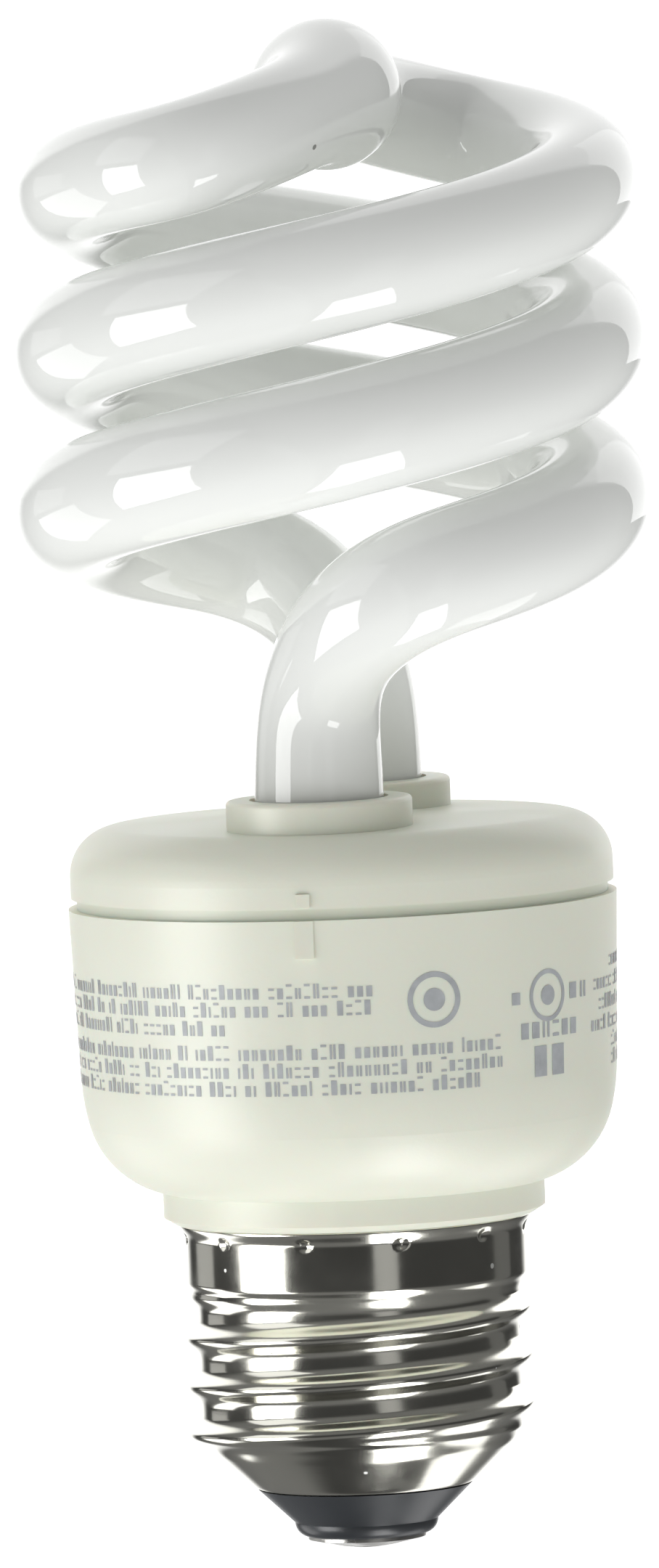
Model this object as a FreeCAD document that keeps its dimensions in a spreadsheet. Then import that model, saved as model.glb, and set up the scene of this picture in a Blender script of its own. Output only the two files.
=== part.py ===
import FreeCAD, Part
import math
import os
import re
import Sketcher

# Spiral energy saving lamp on an E26 screw cap, standing cap down on the Z axis.
# The origin is the middle of the centre contact's underside.

# Driving dimensions: millimetres, degrees, and shares where a note says so
values = {
    # Screw cap
    "contact_radius": 4.45,
    "contact_height": 0.9,
    "contact_face_radius": 2.2,
    "contact_thickness": 0.45,
    "solder_radius": 1.5,
    "solder_proud": 0.15,
    "eyelet_radius": 1.15,
    "eyelet_bore_radius": 0.85,
    "eyelet_length": 1.8,
    "insulator_foot_radius": 5.42,
    "insulator_rounding": 1.1,
    "insulator_height": 3.7,
    "insulator_plug_height": 2.2,
    "lip_radius": 8.1,
    "shell_wall": 0.3,
    "cap_cone_height": 4.2,
    "thread_length": 11.4,
    "thread_pitch": 3.629,
    "thread_inset": 0.26,
    "thread_depth": 1.0,
    "thread_start_angle": 167.0,
    "thread_run_out": 1.6,
    "thread_sections": 14,
    "band_radius": 12.86,
    "band_height": 3.8,
    "flare_reach": 0.49,
    "flare_height": 1.0,
    "punch_radius": 0.6,
    "punch_depth": 0.2,
    "punch_count": 11,
    # Ballast housing
    "housing_gap": 0.05,
    "housing_height": 24.05,
    "shoulder_lift": 11.65,
    "wall_draft": 0.46,
    "foot_radius": 20.25,
    "housing_wall": 1.6,
    "flank_radius": 16.0,
    "flank_height": 4.0,
    "shoulder_round": 7.2,
    "neck_overhang": 0.25,
    "neck_chamfer": 0.5,
    "neck_chamfer_reach": 0.82,
    "spigot_clearance": 0.06,
    "spigot_length": 11.0,
    "spigot_wall": 1.5,
    "wire_slot_width": 1.0,
    "wire_slot_depth": 0.9,
    "snap_depth": 0.4,
    "snap_height": 1.0,
    "snap_drop": 2.0,
    "rib_width": 1.2,
    "rib_reach": 1.2,
    "rib_height": 8.0,
    "rib_count": 4,
    "rib_angle": 45.0,
    "mark_width": 1.4,
    "mark_height": 2.8,
    "mark_across": 3.0,
    # Tube cover
    "seam_gap": 0.85,
    "seam_depth": 0.66,
    "cover_inset": 0.21,
    "cover_height": 6.4,
    "cover_round": 3.6,
    "cover_crown": 0.3,
    "cover_wall": 1.6,
    "plug_clearance": 0.1,
    "plug_wall": 1.3,
    "snap_play": 0.1,
    "hook_width": 3.0,
    "hook_count": 4,
    "collar_radius": 7.0,
    "collar_height": 2.0,
    "collar_edge": 0.35,
    "socket_depth": 6.2,
    "cement_radius": 6.2,
    "cement_height": 2.8,
    "cement_clearance": 0.02,
    "leg_clearance": 0.3,
    "cover_mark_width": 1.0,
    "cover_mark_height": 1.0,
    "cover_mark_lift": 0.15,
    "cover_mark_proud": 0.1,
    # Glass tube
    "leg_across": 1.5,
    "leg_inset": 9.05,
    "leg_radius": 4.92,
    "leg_depth": 7.0,
    "leg_rise": 13.0,
    "leg_pull": 21.0,
    "bend_length": 20.0,
    "waist_radius": 4.5,
    "waist_spread": 7.0,
    "waist_offset": 5.0,
    "coil_radius": 19.25,
    "coil_pitch": 24.2,
    "coil_side_height": 29.8,
    "coil_start_angle": 300.0,
    "coil_end_angle": 765.0,
    "coil_pull": 27.0,
    "coil_tube_radius": 4.8,
    "crown_tube_radius": 4.3,
    "taper_start_share": 0.45,
    "taper_end_share": 0.87,
    "flatten_drop": 0.75,
    "flatten_angle": 70.0,
    "bridge_pull": 26.0,
    "knob_pull": 18.0,
    "knob_heading": 283.0,
    "knob_height": 60.75,
    "knob_radius": 5.75,
    "knob_spread": 5.0,
    "tube_lean": 1.1,
    "exhaust_radius": 1.2,
    "exhaust_length": 2.5,
    "leg_stations": 4,
    "curve_stations": 10,
    "coil_station_angle": 12.0,
    # Circuit board
    "board_gap": 0.5,
    "board_thickness": 1.6,
    "board_play": 0.1,
    "board_drop": 6.1,
    "drill_clearance": 0.15,
    "lead_stub": 0.6,
    "lead_radius": 0.3,
    "standoff": 0.8,
    "layout_radius": 18.15,
    "layout_depth": 11.7,
    # Capacitor in the neck
    "electrolytic_share": 0.488,
    "electrolytic_length": 18.0,
    "electrolytic_lift": 1.35,
    "electrolytic_edge": 0.6,
    "electrolytic_groove": 0.4,
    "electrolytic_groove_round": 0.48,
    "electrolytic_groove_drop": 2.0,
    "electrolytic_across_share": 0.293,
    "electrolytic_forward_share": 0.332,
    "electrolytic_lead_share": 0.5,
    # Inductor
    "inductor_across": 10.5,
    "core_width": 12.6,
    "core_height": 10.0,
    "core_depth": 5.0,
    "core_limb": 2.2,
    "core_middle_limb": 3.0,
    "bobbin_wall": 0.4,
    "bobbin_clearance": 0.1,
    "bobbin_flange": 0.5,
    "bobbin_depth": 8.6,
    "bobbin_side_play": 0.15,
    "bobbin_pin_across": 3.7,
    "bobbin_pin_back": 3.2,
    "winding_inset": 0.3,
    # Toroid
    "toroid_across": 8.5,
    "toroid_back": 7.5,
    "toroid_radius": 4.7,
    "toroid_bore_radius": 2.4,
    "toroid_thickness": 3.2,
    "toroid_wire": 0.5,
    "toroid_turns": 9,
    "toroid_turn_step": 22.5,
    "toroid_turn_clearance": 0.05,
    # Transistors
    "transistor_radius": 2.35,
    "transistor_flat": 1.5,
    "transistor_height": 4.8,
    "transistor_lead_pitch": 1.27,
    "transistor_standoff": 2.0,
    "low_transistor_across": 10.0,
    "low_transistor_forward": 8.4,
    "high_transistor_across": 4.5,
    "high_transistor_back": 14.0,
    # Film capacitors
    "resonant_length": 9.5,
    "resonant_width": 4.0,
    "resonant_height": 8.0,
    "resonant_across": 3.0,
    "resonant_back": 10.7,
    "coupling_length": 7.5,
    "coupling_width": 3.5,
    "coupling_height": 6.0,
    "coupling_across": 4.2,
    "coupling_forward": 10.6,
    "film_edge": 0.6,
    "film_lead_share": 0.66,
    # Filter choke
    "choke_radius": 3.0,
    "choke_winding_radius": 2.6,
    "choke_height": 7.0,
    "choke_flange": 0.9,
    "choke_across": 4.2,
    "choke_forward": 12.4,
    "choke_lead_pitch": 3.0,
    # Diodes and resistors on top of the board
    "diode_radius": 1.35,
    "diode_length": 4.6,
    "resistor_radius": 1.1,
    "resistor_length": 5.6,
    "trigger_radius": 0.9,
    "trigger_length": 3.8,
    "trigger_back": 2.0,
    "axial_lead_reach": 1.6,
    "axial_lift": 0.8,
    "axial_step": 2.9,
    "axial_first": 4.6,
    "axial_count": 4,
    # Wires
    "fuse_radius": 1.6,
    "fuse_length": 7.0,
    "fuse_across_share": 0.547,
    "fuse_back_share": 0.43,
    "fuse_bottom": 14.5,
    "wire_bend": 1.5,
    "wire_turn_height": 8.5,
    "neutral_across": 1.6,
    "neutral_back": 6.0,
    "neutral_rise": 6.0,
    "post_width": 1.0,
    "post_height": 3.2,
    "post_near": 4.1,
    "post_far": 7.1,
    "post_forward": 13.6,
    "post_hole_radius": 0.8,
    "filament_spread": 3.0,
}

document = FreeCAD.newDocument("SpiralLamp")
size = document.addObject("Spreadsheet::Sheet", "Sizes")
for row, (alias, dimension) in enumerate(values.items(), start=1):
    size.set("A%d" % row, alias.replace("_", " "))
    size.set("B%d" % row, str(dimension))
    size.setAlias("B%d" % row, alias)
document.recompute()

levels = document.addObject("App::VarSet", "Levels")
level_names = []
nodes = []


# Sizes of the pieces on the board that keep their share of its radius
plan_sizes = """
    inductor_across core_width core_depth core_limb core_middle_limb
    bobbin_depth bobbin_side_play bobbin_pin_across bobbin_pin_back
    toroid_across toroid_back toroid_radius toroid_bore_radius
    transistor_radius transistor_flat transistor_lead_pitch
    low_transistor_across low_transistor_forward high_transistor_across high_transistor_back
    resonant_length resonant_width resonant_across resonant_back
    coupling_length coupling_width coupling_across coupling_forward
    choke_radius choke_winding_radius choke_across choke_forward choke_lead_pitch
    diode_radius diode_length resistor_radius resistor_length
    trigger_radius trigger_length trigger_back axial_lead_reach axial_step axial_first
    neutral_across neutral_back post_near post_far post_forward
""".split()

# Heights of the pieces under the board that keep their share of the room there
depth_sizes = """
    core_height resonant_height coupling_height choke_height transistor_height transistor_standoff
""".split()


# An expression in which each size or level is looked up in its own table
def linked(text):
    def with_owner(match):
        word = match.group()
        if word in plan_sizes:
            return "(Sizes.%s * Levels.plan_scale)" % word
        if word in depth_sizes:
            return "(Sizes.%s * Levels.depth_scale)" % word
        if word in values:
            return "Sizes." + word
        if word in level_names:
            return "Levels." + word
        return word
    return re.sub("[a-z][a-z_]+", with_owner, text)


def level(name, text):
    levels.addProperty("App::PropertyFloat", name)
    levels.setExpression(name, linked(text))
    level_names.append(name)
    levels.recompute()


# The number that an expression gives at the present sizes
def number(text):
    levels.setExpression("probe", linked(text))
    levels.recompute()
    return levels.probe


levels.addProperty("App::PropertyFloat", "probe")

# Heights above the centre contact, from the bottom up
level("lip_height", "contact_height + insulator_height")
level("thread_bottom", "lip_height + cap_cone_height")
level("thread_top", "thread_bottom + thread_length")
level("band_top", "thread_top + band_height")
level("shell_top", "band_top + flare_height")
level("neck_base", "shell_top + housing_gap")
level("seam", "neck_base + housing_height")
level("wall_base", "neck_base + shoulder_lift")
level("cover_edge", "seam + seam_gap")
level("cover_top", "seam + cover_height")
level("collar_top", "cover_top + collar_height")
level("board_top", "seam - board_drop")
level("board_bottom", "board_top - board_thickness")
level("hanging_top", "board_bottom - standoff")
level("socket_base", "cover_top - socket_depth")
level("leg_end", "cover_top - leg_depth")

# Radii and centres that several pieces share
level("thread_mean_radius", "band_radius - thread_inset")
level("flare_radius", "band_radius + flare_reach")
level("neck_foot_radius", "flare_radius + neck_overhang")
level("neck_radius", "neck_foot_radius + neck_chamfer_reach")
level("rim_radius", "foot_radius + wall_draft")
level("cover_radius", "rim_radius - cover_inset")
level("shoulder_sine", "flank_height / flank_radius")
level("shoulder_cosine", "sqrt(1 - shoulder_sine ^ 2)")
level("shoulder_x", "foot_radius - flank_radius + (flank_radius - shoulder_round) * shoulder_cosine")
level("shoulder_z", "wall_base - (flank_radius - shoulder_round) * shoulder_sine")
level("spigot_radius", "band_radius - shell_wall - spigot_clearance")
level("spigot_thread_radius", "thread_mean_radius - thread_depth / 2 - shell_wall - spigot_clearance")
level("spigot_end", "neck_base - spigot_length")
level("bore_radius", "spigot_thread_radius - spigot_wall")
level("bore_top", "shoulder_z - shoulder_round + housing_wall")
level("plug_radius", "foot_radius - housing_wall - plug_clearance")
level("snap_top", "seam - snap_drop")
level("leg_forward", "plug_radius - leg_inset")
level("board_radius", "foot_radius - housing_wall - board_gap")
level("plan_scale", "board_radius / layout_radius")
level("depth_scale", "(hanging_top - bore_top) / layout_depth")
level("electrolytic_radius", "bore_radius * electrolytic_share")
level("electrolytic_across", "bore_radius * electrolytic_across_share")
level("electrolytic_forward", "bore_radius * electrolytic_forward_share")
level("electrolytic_top", "spigot_end + electrolytic_lift + electrolytic_length")
level("fuse_across", "bore_radius * fuse_across_share")
level("fuse_back", "bore_radius * fuse_back_share")


def new_body(label):
    body = document.addObject("PartDesign::Body", label)
    body.Label = label
    nodes.append(body)
    return body


# A sketch on one of the body's own planes, lifted along the plane's normal
def new_sketch(body, role, lift="0"):
    sketch = body.newObject("Sketcher::SketchObject", body.Name + "_sketch")
    plane = [feature for feature in body.Origin.OriginFeatures if feature.Role == role][0]
    sketch.AttachmentSupport = [(plane, "")]
    sketch.MapMode = "FlatFace"
    sketch.setExpression("AttachmentOffset.Base.z", linked(lift))
    return sketch


def pin_point(sketch, item, end, x_text, y_text):
    for kind, text in (("DistanceX", x_text), ("DistanceY", y_text)):
        constraint = Sketcher.Constraint(kind, -1, 1, item, end, number(text))
        index = sketch.addConstraint(constraint)
        sketch.setExpression("Constraints[%d]" % index, linked(text))


# A closed outline. Each corner is (x, y); a third entry is the radius of the arc that arrives there,
# and a fourth, "left" or "right", is the side of the travel on which the arc's centre lies.
def draw_outline(sketch, corners):
    points = [FreeCAD.Vector(number(corner[0]), number(corner[1]), 0) for corner in corners]
    ends = []
    for index, corner in enumerate(corners):
        start = points[index - 1]
        finish = points[index]
        if len(corner) == 2:
            item = sketch.addGeometry(Part.LineSegment(start, finish))
            ends.append((item, 1, 2))
            continue
        radius = number(corner[2])
        chord = finish - start
        side = 1 if corner[3] == "left" else -1
        normal = FreeCAD.Vector(-chord.y, chord.x, 0).normalize() * side
        centre = (start + finish) * 0.5 + normal * math.sqrt(radius ** 2 - chord.Length ** 2 / 4)
        first, last = (start, finish) if side > 0 else (finish, start)
        angles = [math.atan2(point.y - centre.y, point.x - centre.x) for point in (first, last)]
        circle = Part.Circle(centre, FreeCAD.Vector(0, 0, 1), radius)
        item = sketch.addGeometry(Part.ArcOfCircle(circle, angles[0], angles[1]))
        ends.append((item, 1, 2) if side > 0 else (item, 2, 1))
        constraint = sketch.addConstraint(Sketcher.Constraint("Radius", item, radius))
        sketch.setExpression("Constraints[%d]" % constraint, linked(corner[2]))
    for index, (item, start_end, finish_end) in enumerate(ends):
        next_item, next_start, next_finish = ends[(index + 1) % len(ends)]
        sketch.addConstraint(Sketcher.Constraint("Coincident", item, finish_end, next_item, next_start))
        pin_point(sketch, item, finish_end, corners[index][0], corners[index][1])


def draw_circle(sketch, x_text, y_text, radius_text):
    centre = FreeCAD.Vector(number(x_text), number(y_text), 0)
    circle = Part.Circle(centre, FreeCAD.Vector(0, 0, 1), number(radius_text))
    item = sketch.addGeometry(circle)
    pin_point(sketch, item, 3, x_text, y_text)
    constraint = sketch.addConstraint(Sketcher.Constraint("Radius", item, number(radius_text)))
    sketch.setExpression("Constraints[%d]" % constraint, linked(radius_text))


def rectangle(left, bottom, right, top):
    return [(left, bottom), (right, bottom), (right, top), (left, top)]


# Turns an outline of (radius, height) corners about the Z axis, to add or to remove material
def turned(body, corners, kind="PartDesign::Revolution"):
    sketch = new_sketch(body, "XZ_Plane")
    draw_outline(sketch, corners)
    feature = body.newObject(kind, body.Name + "_turned")
    feature.Profile = sketch
    feature.ReferenceAxis = (sketch, ["V_Axis"])
    feature.Angle = 360
    feature.recompute(True)
    return feature


# Raises a horizontal sketch by a length, or cuts upwards with it
def raised(body, sketch, length, kind="PartDesign::Pad"):
    feature = body.newObject(kind, body.Name + "_raised")
    feature.Profile = sketch
    feature.setExpression("Length", linked(length))
    feature.Reversed = kind == "PartDesign::Pocket"
    feature.recompute(True)
    return feature


def repeated(body, feature, count):
    pattern = body.newObject("PartDesign::PolarPattern", body.Name + "_pattern")
    pattern.Originals = [feature]
    pattern.Axis = (feature.Profile[0], ["N_Axis"])
    pattern.Angle = 360
    pattern.setExpression("Occurrences", linked(count))
    body.Tip = pattern
    document.recompute()
    return pattern


def place(piece, x_text, y_text, z_text):
    piece.setExpression("Placement.Base.x", linked(x_text))
    piece.setExpression("Placement.Base.y", linked(y_text))
    piece.setExpression("Placement.Base.z", linked(z_text))
    return piece


# An upright cylinder on a centre given in the plan, from one height up
def cylinder(x_text, y_text, z_text, radius, height):
    piece = document.addObject("Part::Cylinder", "Cylinder")
    piece.setExpression("Radius", linked(radius))
    piece.setExpression("Height", linked(height))
    return place(piece, x_text, y_text, z_text)


# A box on a centre given in the plan, from one height up
def box(x_text, y_text, z_text, length, width, height):
    piece = document.addObject("Part::Box", "Box")
    piece.setExpression("Length", linked(length))
    piece.setExpression("Width", linked(width))
    piece.setExpression("Height", linked(height))
    return place(piece, "%s - (%s) / 2" % (x_text, length), "%s - (%s) / 2" % (y_text, width), z_text)


def fused(pieces):
    piece = document.addObject("Part::MultiFuse", "Fusion")
    piece.Shapes = pieces
    return piece


def cut(base, tool):
    piece = document.addObject("Part::Cut", "Cut")
    piece.Base = base
    piece.Tool = tool
    return piece


def grouped(pieces):
    piece = document.addObject("Part::Compound", "Group")
    piece.Links = pieces
    return piece


def as_node(piece, label):
    piece.Label = label
    nodes.append(piece)
    return piece


def shape_node(label, shape):
    feature = document.addObject("Part::Feature", label)
    feature.Shape = shape
    return as_node(feature, label)


drillings = []


# A hole through the board for a lead
def drill(x_text, y_text, radius):
    hole = cylinder(x_text, y_text, "board_bottom - board_thickness", radius, "3 * board_thickness")
    drillings.append(hole)


# A lead that hangs below the board, from a height up through its hole
def hanging_lead(x_text, y_text, from_text):
    drill(x_text, y_text, "lead_radius + drill_clearance")
    return cylinder(x_text, y_text, from_text, "lead_radius", "board_top + lead_stub - (%s)" % from_text)


# A curve from one point to another that leaves and arrives along the two pulls
def blended(start, start_pull, finish, finish_pull, share):
    start_part = start * (2 * share ** 3 - 3 * share ** 2 + 1)
    finish_part = finish * (3 * share ** 2 - 2 * share ** 3)
    pull_part = start_pull * (share ** 3 - 2 * share ** 2 + share) + finish_pull * (share ** 3 - share ** 2)
    return start_part + finish_part + pull_part


# A round wire along straight runs with a tangent arc at each corner
def wire_along(points, radius):
    bend = number("wire_bend")
    edges = []
    start = points[0]
    for before, corner, after in zip(points, points[1:], points[2:]):
        back = (before - corner).normalize()
        ahead = (after - corner).normalize()
        half_angle = back.getAngle(ahead) / 2
        middle = (back + ahead).normalize()
        reach = bend / math.tan(half_angle)
        arc_middle = corner + middle * (bend / math.sin(half_angle) - bend)
        arc = Part.Arc(corner + back * reach, arc_middle, corner + ahead * reach)
        edges.append(Part.LineSegment(start, corner + back * reach).toShape())
        edges.append(arc.toShape())
        start = corner + ahead * reach
    edges.append(Part.LineSegment(start, points[-1]).toShape())
    profile = Part.Wire(Part.makeCircle(radius, points[0], points[1] - points[0]))
    return Part.Wire(edges).makePipeShell([profile], True, True)


def point(x_text, y_text, z_text):
    return FreeCAD.Vector(number(x_text), number(y_text), number(z_text))


# A solid whose skin passes smoothly through circles, each given as (centre, side, across, radius).
# Nine weighted points hold each circle exactly, and each runs along the body as a smooth curve.
def skinned(circles):
    stations = [0.0]
    for start, finish in zip(circles, circles[1:]):
        stations.append(stations[-1] + (finish[0] - start[0]).Length)
    poles = []
    weights = []
    for corner in range(9):
        turn = math.radians(45 * corner)
        reach = math.sqrt(2) if corner % 2 else 1.0
        track = []
        for centre, side, across, radius in circles:
            arm = side * math.cos(turn) + across * math.sin(turn)
            track.append(centre + arm * (radius * reach))
        curve = Part.BSplineCurve()
        curve.interpolate(Points=track, Parameters=stations)
        poles.append(curve.getPoles())
        weights.append([1 / reach] * len(poles[-1]))
    surface = Part.BSplineSurface()
    quarters = ([3, 2, 2, 2, 3], [0, 1, 2, 3, 4])
    surface.buildFromPolesMultsKnots(poles, quarters[0], curve.getMultiplicities(), quarters[1],
                                     curve.getKnots(), False, False, 2, curve.Degree, weights)
    skin = surface.toShape()
    faces = [skin]
    for centre, side, across, radius in (circles[0], circles[-1]):
        rim = min(skin.Edges, key=lambda edge: (edge.CenterOfMass - centre).Length)
        faces.append(Part.Face(Part.Wire(rim)))
    closed = Part.Compound(faces)
    closed.sewShape()
    solid = Part.Solid(closed.Shells[0])
    if solid.Volume < 0:
        solid.reverse()
    return solid


# The middle line of the coil at an angle, which flattens a little before the bridge
def coil_point(angle):
    turn = math.radians(angle)
    flattening = max(0.0, (angle - size.coil_end_angle) / size.flatten_angle + 1)
    rise = size.coil_side_height + size.coil_pitch * (angle - 360) / 360
    height = levels.seam + rise - size.flatten_drop * flattening ** 2
    return FreeCAD.Vector(size.coil_radius * math.cos(turn), size.coil_radius * math.sin(turn), height)


def coil_direction(angle):
    small_step = 0.5
    return (coil_point(angle) - coil_point(angle - small_step)).normalize()


# The middle line of one strand, from the end of its leg to the knob on the axis
def strand_points():
    foot = FreeCAD.Vector(-size.leg_across, -levels.leg_forward, levels.leg_end)
    leg_top = FreeCAD.Vector(foot.x, foot.y, levels.seam + size.leg_rise)
    knob = FreeCAD.Vector(0, 0, levels.seam + size.knob_height)
    heading = math.radians(size.knob_heading)
    leg_pull = FreeCAD.Vector(0, 0, size.leg_pull)
    coil_pull = coil_direction(size.coil_start_angle) * size.coil_pull
    bridge_pull = coil_direction(size.coil_end_angle) * size.bridge_pull
    knob_pull = FreeCAD.Vector(math.cos(heading), math.sin(heading), 0) * size.knob_pull
    coil_start = coil_point(size.coil_start_angle)
    coil_end = coil_point(size.coil_end_angle)
    coil_turn = size.coil_end_angle - size.coil_start_angle
    leg_stations = int(size.leg_stations)
    curve_stations = int(size.curve_stations)
    coil_stations = math.ceil(coil_turn / size.coil_station_angle)
    points = [foot + (leg_top - foot) * (index / leg_stations) for index in range(leg_stations + 1)]
    for index in range(1, curve_stations):
        points.append(blended(leg_top, leg_pull, coil_start, coil_pull, index / curve_stations))
    for index in range(coil_stations + 1):
        points.append(coil_point(size.coil_start_angle + coil_turn * index / coil_stations))
    for index in range(1, curve_stations + 1):
        points.append(blended(coil_end, bridge_pull, knob, knob_pull, index / curve_stations))
    return points


# The tube's radius at a distance along its strand
def tube_radius(distance, strand_length):
    past_leg = distance - (levels.seam + size.leg_rise - levels.leg_end)
    settling = min(1.0, max(0.0, past_leg / size.bend_length))
    radius = size.leg_radius + (size.coil_tube_radius - size.leg_radius) * settling
    waist = math.exp(-((past_leg - size.waist_offset) / size.waist_spread) ** 2)
    radius -= (size.leg_radius - size.waist_radius) * waist
    taper = size.taper_end_share - size.taper_start_share
    narrowing = min(1.0, max(0.0, (distance / strand_length - size.taper_start_share) / taper))
    narrowing = narrowing ** 2 * (3 - 2 * narrowing)
    radius += (size.crown_tube_radius - size.coil_tube_radius) * narrowing
    swelling = math.exp(-((strand_length - distance) / size.knob_spread) ** 2)
    return radius + (size.knob_radius - size.crown_tube_radius) * swelling


# Above the cover the whole coil leans a little to one side
def leaned(place_in_coil):
    rise = max(0.0, place_in_coil.z - levels.cover_top)
    return place_in_coil + FreeCAD.Vector(rise * math.tan(math.radians(size.tube_lean)), 0, 0)


# One sealed glass tube: two equal strands that meet in the knob at the top
def make_spiral_tube():
    strand = strand_points()
    distances = [0.0]
    for start, finish in zip(strand, strand[1:]):
        distances.append(distances[-1] + (finish - start).Length)
    radii = [tube_radius(distance, distances[-1]) for distance in distances]
    other_strand = [FreeCAD.Vector(-spot.x, -spot.y, spot.z) for spot in reversed(strand[:-1])]
    line = [leaned(spot) for spot in strand + other_strand]
    radii = radii + radii[-2::-1]
    side = FreeCAD.Vector(1, 0, 0)
    circles = []
    for index, spot in enumerate(line):
        direction = (line[min(index + 1, len(line) - 1)] - line[max(index - 1, 0)]).normalize()
        side = (side - direction * side.dot(direction)).normalize()
        circles.append((spot, side, direction.cross(side), radii[index]))
    tube = skinned(circles)
    exhaust_foot = line[-1] - FreeCAD.Vector(0, 0, size.exhaust_length)
    exhaust = Part.makeCylinder(size.exhaust_radius, 2 * size.exhaust_length, exhaust_foot)
    tip = Part.makeSphere(size.exhaust_radius, exhaust_foot)
    shape_node("spiral_tube", tube.fuse([exhaust, tip]))


def leg_positions():
    return [("-leg_across", "-leg_forward"), ("leg_across", "leg_forward")]


# Rings of cement between the legs and the sockets of the cover
def make_tube_cement():
    rings = []
    for x_text, y_text in leg_positions():
        ring = cylinder(x_text, y_text, "socket_base", "cement_radius", "cement_height")
        hole = cylinder(x_text, y_text, "socket_base - cement_height", "leg_radius + cement_clearance",
                        "3 * cement_height")
        rings.append(cut(ring, hole))
    as_node(grouped(rings), "tube_cement")


# Domed lid with two collars for the legs, and a rim that snaps into the housing
def make_tube_cover():
    body = new_body("tube_cover")
    ceiling = "cover_top - cover_wall"
    inner = "plug_radius - plug_wall"
    turned(body, [
        ("0", "cover_top"),
        ("0", ceiling),
        (inner + " - cover_round / 2", ceiling),
        (inner, ceiling + " - cover_round / 2", "cover_round / 2", "right"),
        (inner, "board_top + board_play"),
        ("plug_radius", "board_top + board_play"),
        ("plug_radius", "seam"),
        ("rim_radius - seam_depth", "seam"),
        ("rim_radius - seam_depth", "cover_edge"),
        ("cover_radius", "cover_edge"),
        ("cover_radius", "cover_top - cover_crown - cover_round"),
        ("cover_radius - cover_round", "cover_top - cover_crown", "cover_round", "left"),
    ])
    sockets = new_sketch(body, "XY_Plane", "socket_base")
    for x_text, y_text in leg_positions():
        draw_circle(sockets, x_text, y_text, "collar_radius")
    collars = raised(body, sockets, "collar_top - socket_base")
    rims = top_edges(collars.Shape, number("collar_top"))
    rounding = body.newObject("PartDesign::Fillet", "collar_rounding")
    rounding.Base = (collars, rims)
    rounding.setExpression("Radius", linked("collar_edge"))
    document.recompute()
    leg_hole = ("leg_radius + leg_clearance", "collar_top")
    cement_seat = ("cement_radius", "socket_base + cement_height")
    for radius, height in (leg_hole, cement_seat):
        holes = new_sketch(body, "XY_Plane", "socket_base")
        for x_text, y_text in leg_positions():
            draw_circle(holes, x_text, y_text, radius)
        raised(body, holes, height + " - socket_base", "PartDesign::Pocket")
    mark = new_sketch(body, "XY_Plane", "cover_edge + cover_mark_lift")
    front = "-(cover_radius + cover_mark_proud)"
    draw_outline(mark, rectangle("-mark_across - cover_mark_width / 2", front,
                                 "-mark_across + cover_mark_width / 2", "-plug_radius"))
    raised(body, mark, "cover_mark_height")
    hook = new_sketch(body, "XY_Plane", "snap_top - snap_height + snap_play")
    draw_outline(hook, rectangle("plug_radius - plug_wall / 2", "-hook_width / 2",
                                 "plug_radius + snap_depth - snap_play", "hook_width / 2"))
    hook_pad = raised(body, hook, "snap_height - 2 * snap_play")
    repeated(body, hook_pad, "hook_count")


# The names of a shape's circular edges at one height
def top_edges(shape, height):
    found = []
    for index, edge in enumerate(shape.Edges, start=1):
        if abs(edge.BoundBox.ZMin - height) < 0.001 and abs(edge.BoundBox.ZMax - height) < 0.001:
            found.append("Edge%d" % index)
    return found


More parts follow.
